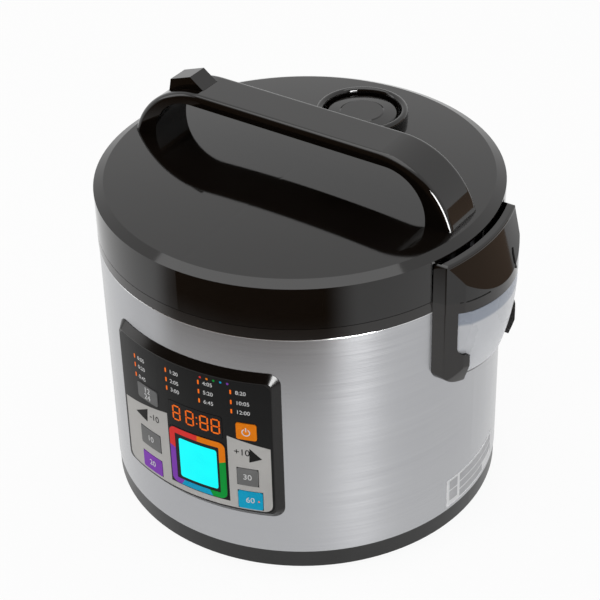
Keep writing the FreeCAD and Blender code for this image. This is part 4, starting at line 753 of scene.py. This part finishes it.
def make_key_zone(finishes):
    """Pale zone of the film: two shoulders round the keys, joined by a strip under the ring."""
    zone = plate_between("key_zone", round_turn(ZONE_LEFT), round_turn(ZONE_RIGHT), ZONE_LOW, ZONE_TOP)
    round_corners(zone, ZONE_CORNER)
    for (start, start_height), (end, end_height) in ZONE_SHOULDERS:
        cut_along(zone, (round_turn(start), start_height), (round_turn(end), end_height))
    cut_opening(zone, round_turn(ZONE_GAP[0]), round_turn(ZONE_GAP[1]), ZONE_STRIP, ZONE_TOP)
    for turn, height, width, tall, lines in KEYS.values():
        x, half = round_turn(turn), round_turn(width) / 2 + KEY_GAP
        cut_opening(zone, x - half, x + half, height - tall / 2 - KEY_GAP, height + tall / 2 + KEY_GAP)
    slice_upright(zone)
    dress(bend_round(zone, FILM_RADIUS), finishes["grey_print"], "base")


def make_key_numbers(finishes):
    """Plain white numbers on the keys; each rides with its key."""
    for key, (turn, height, width, tall, lines) in KEYS.items():
        if not lines:
            continue
        marks = []
        for index, text in enumerate(lines):
            lift = ((len(lines) - 1) / 2 - index) * KEY_LINE
            marks.append(number(text, KEY_TEXT, round_turn(turn), height + lift, "CENTER"))
        mark = bend_round(join(marks, key + "_number"), KEY_RADIUS)
        dress(mark, finishes["white_print"], key)


POWER_RADIUS = 0.0030
POWER_LINE = 0.00075


def make_power_mark(finishes):
    """Open ring with an upright bar on the power key."""
    turn, height = KEYS["key_power"][:2]
    clear_selection()
    bpy.ops.mesh.primitive_circle_add(vertices=32, radius=POWER_RADIUS, fill_type="NGON",
                                      rotation=FACING_FRONT)
    ring = settle(newest())
    open_middle(ring, POWER_LINE)
    cut_opening(ring, -POWER_RADIUS * 0.42, POWER_RADIUS * 0.42, 0, POWER_RADIUS * 1.1)
    bar = flat_plate("power_bar", POWER_LINE, POWER_RADIUS * 1.1, 0, POWER_RADIUS * 0.72)
    mark = join([ring, bar], "power_mark")
    shift(mark, round_turn(turn), height - POWER_RADIUS * 0.15)
    dress(bend_round(mark, KEY_RADIUS), finishes["white_print"], "key_power")


# Arrow heads and their numbers on the grey zone
ARROWS = (
    ((-18.5, 0.1015), (-13.6, 0.0987), (-13.1, 0.1101)),
    ((22.84, 0.0999), (19.56, 0.1079), (19.38, 0.0961)),
)
STEP_NUMBERS = (("-10", -12.4, 0.1055), ("+10", 15.1, 0.1035))
STEP_TEXT = 0.0072


def make_arrows(finishes):
    """Black arrow heads that point away from the screen, each beside its number of minutes."""
    marks = []
    for corners in ARROWS:
        arrow = cut_shape("arrow", [(round_turn(turn), height) for turn, height in corners])
        marks.append(slice_upright(arrow, BEND_STEP / 2))
    for text, turn, height in STEP_NUMBERS:
        marks.append(number(text, STEP_TEXT, round_turn(turn), height))
    arrows = bend_round(join(marks, "step_arrows"), FILM_RADIUS + PRINT_THICK)
    dress(arrows, finishes["black_print"], "base")


DOT_TURNS = (6.6, 8.55, 10.5, 12.45, 14.4)
DOT_LEVEL = 0.1588
DOT_SIDE = 0.0016
DOT_FINISHES = ("ring_red", "ring_orange", "ring_green", "ring_blue", "ring_purple")
DOT_ROUNDING = 0.45
# Small lamp on the blue key: place across, height and size
KEY_LAMP = (21.6, 0.0631, 0.0012)


def make_dots(finishes):
    """Row of five coloured dots at the top of the film, and the small lamp on the blue key."""
    for index, (turn, finish) in enumerate(zip(DOT_TURNS, DOT_FINISHES)):
        dot = flat_plate("colour_dot_%d" % (index + 1), DOT_SIDE, DOT_SIDE, round_turn(turn), DOT_LEVEL)
        round_corners(dot, DOT_SIDE * DOT_ROUNDING, 5)
        dress(bend_round(dot, FILM_RADIUS), finishes[finish], "base")
    turn, height, side = KEY_LAMP
    lamp = flat_plate("key_lamp", side, side, round_turn(turn), height)
    round_corners(lamp, side * DOT_ROUNDING, 5)
    dress(bend_round(lamp, KEY_RADIUS), finishes["lamp_glow"], "key_lower_right")


BEAD_RADIUS = 0.00038
BEAD_REACH = 0.1396
BEAD_LEVEL = 0.19485
BEAD_STEPS = 180


def make_rolled_bead(finishes):
    """Bright bead at the top of the steel shell, where the sheet is rolled under the ring."""
    clear_selection()
    bpy.ops.mesh.primitive_circle_add(vertices=12, radius=BEAD_RADIUS, rotation=FACING_FRONT,
                                      location=(BEAD_REACH, 0, BEAD_LEVEL))
    bead = settle(newest())
    bead.name = "rolled_bead"
    edit(bead)
    bpy.ops.mesh.spin(steps=BEAD_STEPS, angle=2 * math.pi, center=(0, 0, 0), axis=(0, 0, 1))
    bpy.ops.mesh.select_all(action="SELECT")
    bpy.ops.mesh.remove_doubles(threshold=MERGE_DISTANCE)
    bpy.ops.mesh.normals_make_consistent(inside=False)
    leave_edit()
    bpy.ops.object.shade_smooth()
    dress(bead, finishes["bright_steel"], "base")


LABEL_TURNS = (78.4, 106.4)
LABEL_LOW = 0.0185
LABEL_TOP = 0.0424
LABEL_CORNER = 0.0012
# Blank grey fields on the label: sides as angles round the body, bottom and top
LABEL_FIELDS = (
    (79.6, 83.2, 0.0330, 0.0408),
    (79.6, 83.2, 0.0235, 0.0318),
    (84.4, 105.2, 0.0345, 0.0408),
    (84.4, 105.2, 0.0275, 0.0332),
    (84.4, 98.0, 0.0205, 0.0262),
)


def make_bare_label(finishes):
    """Blank pale label on the steel, low on the right."""
    left, right = (round_turn(turn, SHELL_RADIUS) for turn in LABEL_TURNS)
    label = plate_between("bare_label", left, right, LABEL_LOW, LABEL_TOP)
    slice_upright(round_corners(label, LABEL_CORNER, 4))
    dress(bend_round(label, SHELL_RADIUS), finishes["label_paper"], "base")
    fields = []
    for start, end, low, top in LABEL_FIELDS:
        left, right = round_turn(start, SHELL_RADIUS), round_turn(end, SHELL_RADIUS)
        fields.append(slice_upright(plate_between("label_field", left, right, low, top), BEND_STEP / 2))
    fields = bend_round(join(fields, "label_fields"), SHELL_RADIUS + PRINT_THICK)
    dress(fields, finishes["field_grey"], "base")


# Dark seam of the hinge block where it meets the ring, and painted shade in the slit at its far end
BLOCK_SEAM = ((0.1479, -0.0380, 0.2035), (0.1513, -0.0341, 0.2035), (0.1542, -0.0287, 0.2036),
              (0.1566, -0.0227, 0.2038), (0.1584, -0.0170, 0.2040))
BLOCK_SLIT_SHADE = ((0.1537, 0.0196, 0.2160), (0.1553, 0.0178, 0.2131), (0.1577, 0.0160, 0.2080),
              (0.1586, 0.0166, 0.2035))
SEAM_SIDE = 0.0006
SLIT_SIDE = 0.0011


def make_block_seams(finishes):
    """Two dark hairlines on the hinge block: the seam, and painted shade in the slit."""
    seam = drawn_strip("block_seam", BLOCK_SEAM, SEAM_SIDE, math.pi / 2)
    dress(seam, finishes["black_print"], "base")
    # Painted shade: a black strip laid in the deep slit at the block's far end
    slit = drawn_strip("block_slit_shade", BLOCK_SLIT_SHADE, SLIT_SIDE)
    dress(slit, finishes["black_print"], "base")


# Pale floor: how white it looks to the camera and in gloss; the rest is its own shading, with the shadow
FLOOR_SIDE = 12.0
FLOOR_COLOUR = (0.82, 0.82, 0.82, 1)
FLOOR_ROUGHNESS = 0.9
FLOOR_WHITE = 0.93
# The dark card in front, on the floor and up a round wall, seen only in gloss. On the floor: where it starts
# and is full, and its middle and soft sides, as angles round the body
CARD_REACH = (0.31, 0.44)
CARD_MIDDLE = 9.0
CARD_SIDES = (35.0, 53.0)
CARD_LIFT = 0.002
CARD_COLOUR = (0.08, 0.05, 0.03, 1)
# Its wider part further out, with its soft sides, and the wall's radius, height and soft top
WALL_REACH = (0.48, 0.58)
WALL_SIDES = (58.0, 76.0)
CARD_WALL = 2.2
CARD_HEIGHT = 4.2
CARD_TOP = (2.4, 4.0)
# The brown card on the right, towards the back: its middle, its turn, its size and its colour
BROWN_PLACE = (1.25, 0.85, 0.1)
BROWN_TURN = 124.0
BROWN_SIZE = (1.5, 0.62)
BROWN_COLOUR = (0.42, 0.30, 0.22, 1)
# The world's light on the object, and its white as a backdrop
WORLD_LIGHT = 0.55
WORLD_WHITE = 1.0
# Soft lamps: name, place, size, power in watts, and False for a strip that shows only in gloss
LAMPS = (
    ("top_softbox", (-0.2, 0.1, 1.7), (1.4, 1.4), 9.0, True),
    ("right_softbox", (1.19, -0.71, 0.55), (0.48, 1.1), 54.0, False),
    ("left_softbox", (-1.3, -0.7, 0.8), (0.6, 1.0), 3.0, True),
)
LAMP_AIM = Vector((0, 0, 0.12))


def seen_plainly(tree):
    """1 for what the camera, gloss or clear plastic looks at, 0 for light that falls on the object."""
    path = tree.nodes.new("ShaderNodeLightPath")
    mirrored = add_math(tree, "MAXIMUM", path.outputs["Is Glossy Ray"], path.outputs["Is Transmission Ray"])
    return add_math(tree, "MAXIMUM", path.outputs["Is Camera Ray"], mirrored)


def mix_surface(tree, share, first, second):
    mix = tree.nodes.new("ShaderNodeMixShader")
    tree.links.new(share, mix.inputs["Fac"])
    tree.links.new(first, mix.inputs[1])
    tree.links.new(second, mix.inputs[2])
    tree.links.new(mix.outputs["Shader"], tree.nodes["Material Output"].inputs["Surface"])


def make_floor():
    clear_selection()
    bpy.ops.mesh.primitive_plane_add(size=FLOOR_SIDE)
    floor = newest()
    floor.name = "floor"
    material, tree, shader = new_material("studio_floor")
    shader.inputs["Base Color"].default_value = FLOOR_COLOUR
    shader.inputs["Roughness"].default_value = FLOOR_ROUGHNESS
    glow = tree.nodes.new("ShaderNodeEmission")
    white = add_math(tree, "MULTIPLY", seen_plainly(tree), FLOOR_WHITE)
    mix_surface(tree, white, shader.outputs["BSDF"], glow.outputs["Emission"])
    floor.data.materials.append(material)


def card_material(name, colour):
    material, tree, shader = new_material(name)
    shader.inputs["Base Color"].default_value = (0, 0, 0, 1)
    shader.inputs["Emission Color"].default_value = colour
    shader.inputs["Emission Strength"].default_value = 1.0
    shader.inputs["Specular IOR Level"].default_value = 0.0
    return material, tree, shader


def only_in_gloss(piece):
    piece.visible_camera = False
    piece.visible_diffuse = False
    piece.visible_shadow = False
    piece.visible_transmission = False


def make_dark_card():
    """Dark surroundings that the gloss shows at the front: a patch of floor and the wall beyond it."""
    clear_selection()
    bpy.ops.mesh.primitive_plane_add(size=CARD_WALL * 2, location=(0, 0, CARD_LIFT))
    card_floor = newest()
    clear_selection()
    bpy.ops.mesh.primitive_cylinder_add(vertices=96, radius=CARD_WALL, depth=CARD_HEIGHT,
                                        end_fill_type="NOTHING", location=(0, 0, CARD_HEIGHT / 2))
    card = settle(join([card_floor, newest()], "dark_card"))
    material, tree, shader = card_material("card_dark", CARD_COLOUR)
    place = tree.nodes.new("ShaderNodeTexCoord").outputs["Object"]
    reach = tree.nodes.new("ShaderNodeVectorMath")
    reach.operation = "LENGTH"
    tree.links.new(place, reach.inputs[0])
    split = tree.nodes.new("ShaderNodeSeparateXYZ")
    tree.links.new(place, split.inputs["Vector"])
    front = add_math(tree, "MULTIPLY", split.outputs["Y"], -1.0)
    turn = add_math(tree, "ARCTAN2", split.outputs["X"], front)
    off_middle = add_math(tree, "SUBTRACT", turn, math.radians(CARD_MIDDLE))
    aside = add_math(tree, "ABSOLUTE", off_middle, 0.0)
    near = soft_step(tree, aside, math.radians(CARD_SIDES[1]), math.radians(CARD_SIDES[0]))
    wide = soft_step(tree, aside, math.radians(WALL_SIDES[1]), math.radians(WALL_SIDES[0]))
    further = add_math(tree, "MULTIPLY", wide, soft_step(tree, reach.outputs["Value"], *WALL_REACH))
    inside = add_math(tree, "MAXIMUM", near, further)
    dark = add_math(tree, "MULTIPLY", soft_step(tree, reach.outputs["Value"], *CARD_REACH), inside)
    under = soft_step(tree, split.outputs["Z"], CARD_TOP[1], CARD_TOP[0])
    clear = tree.nodes.new("ShaderNodeBsdfTransparent")
    mix_surface(tree, add_math(tree, "MULTIPLY", dark, under), clear.outputs["BSDF"], shader.outputs["BSDF"])
    card.data.materials.append(material)
    only_in_gloss(card)


def make_brown_card():
    clear_selection()
    bpy.ops.mesh.primitive_plane_add(size=1, rotation=(math.pi / 2, 0, math.radians(BROWN_TURN)),
                                     location=BROWN_PLACE)
    brown = newest()
    brown.name = "brown_card"
    brown.scale = (*BROWN_SIZE, 1)
    settle(brown)
    brown.data.materials.append(card_material("card_brown", BROWN_COLOUR)[0])
    only_in_gloss(brown)


def make_world():
    world = bpy.data.worlds.new("studio")
    bpy.context.scene.world = world
    world.use_nodes = True
    tree = world.node_tree
    back = tree.nodes["Background"]
    back.inputs["Color"].default_value = (1, 1, 1, 1)
    level = add_range(tree, seen_plainly(tree), WORLD_LIGHT, WORLD_WHITE, 0.0, 1.0)
    tree.links.new(level, back.inputs["Strength"])


def make_lamps():
    for name, spot, size, power, lights in LAMPS:
        clear_selection()
        bpy.ops.object.light_add(type="AREA", location=spot)
        lamp = newest()
        lamp.name = name
        lamp.data.shape = "RECTANGLE"
        lamp.data.size, lamp.data.size_y = size
        lamp.data.energy = power
        lamp.visible_diffuse = lights
        aim = LAMP_AIM - Vector(spot)
        lamp.rotation_euler = aim.to_track_quat("-Z", "Y").to_euler()


def make_camera():
    """The fitted camera: it looks at the lid rim's centre, off the middle of the frame, with a small roll."""
    sine, cosine = math.sin(CAMERA_AZIMUTH), math.cos(CAMERA_AZIMUTH)
    low, high = math.cos(CAMERA_ELEVATION), math.sin(CAMERA_ELEVATION)
    back = Vector((sine * low, -cosine * low, high))
    right = Vector((cosine, sine, 0))
    up = Vector((-high * sine, high * cosine, low))
    location = RIM_CENTRE + back * CAMERA_DISTANCE
    focal = LENS / SENSOR * IMAGE_SIDE
    yaw = math.atan((RIM_PIXEL[0] - IMAGE_SIDE / 2) / focal)
    pitch = math.atan((RIM_PIXEL[1] - IMAGE_SIDE / 2) / focal)
    turned_right = right * math.cos(yaw) - back * math.sin(yaw)
    turned_back = right * math.sin(yaw) + back * math.cos(yaw)
    tilted_up = up * math.cos(pitch) + turned_back * math.sin(pitch)
    tilted_back = turned_back * math.cos(pitch) - up * math.sin(pitch)
    rolled_right = turned_right * math.cos(CAMERA_ROLL) + tilted_up * math.sin(CAMERA_ROLL)
    rolled_up = tilted_up * math.cos(CAMERA_ROLL) - turned_right * math.sin(CAMERA_ROLL)
    basis = Matrix((rolled_right, rolled_up, tilted_back)).transposed().to_4x4()
    clear_selection()
    bpy.ops.object.camera_add()
    camera = newest()
    camera.matrix_world = Matrix.Translation(location) @ basis
    camera.data.sensor_width = SENSOR
    camera.data.lens = LENS
    bpy.context.scene.camera = camera


bpy.context.scene.view_settings.view_transform = "Standard"
finishes = make_finishes()
dress_solids(finishes)
make_program_lamps(finishes)
make_timer_digits(finishes)
make_colour_ring(finishes)
make_key_zone(finishes)
make_key_numbers(finishes)
make_power_mark(finishes)
make_arrows(finishes)
make_dots(finishes)
make_rolled_bead(finishes)
make_bare_label(finishes)
make_block_seams(finishes)
make_floor()
make_dark_card()
make_brown_card()
make_world()
make_lamps()
make_camera()
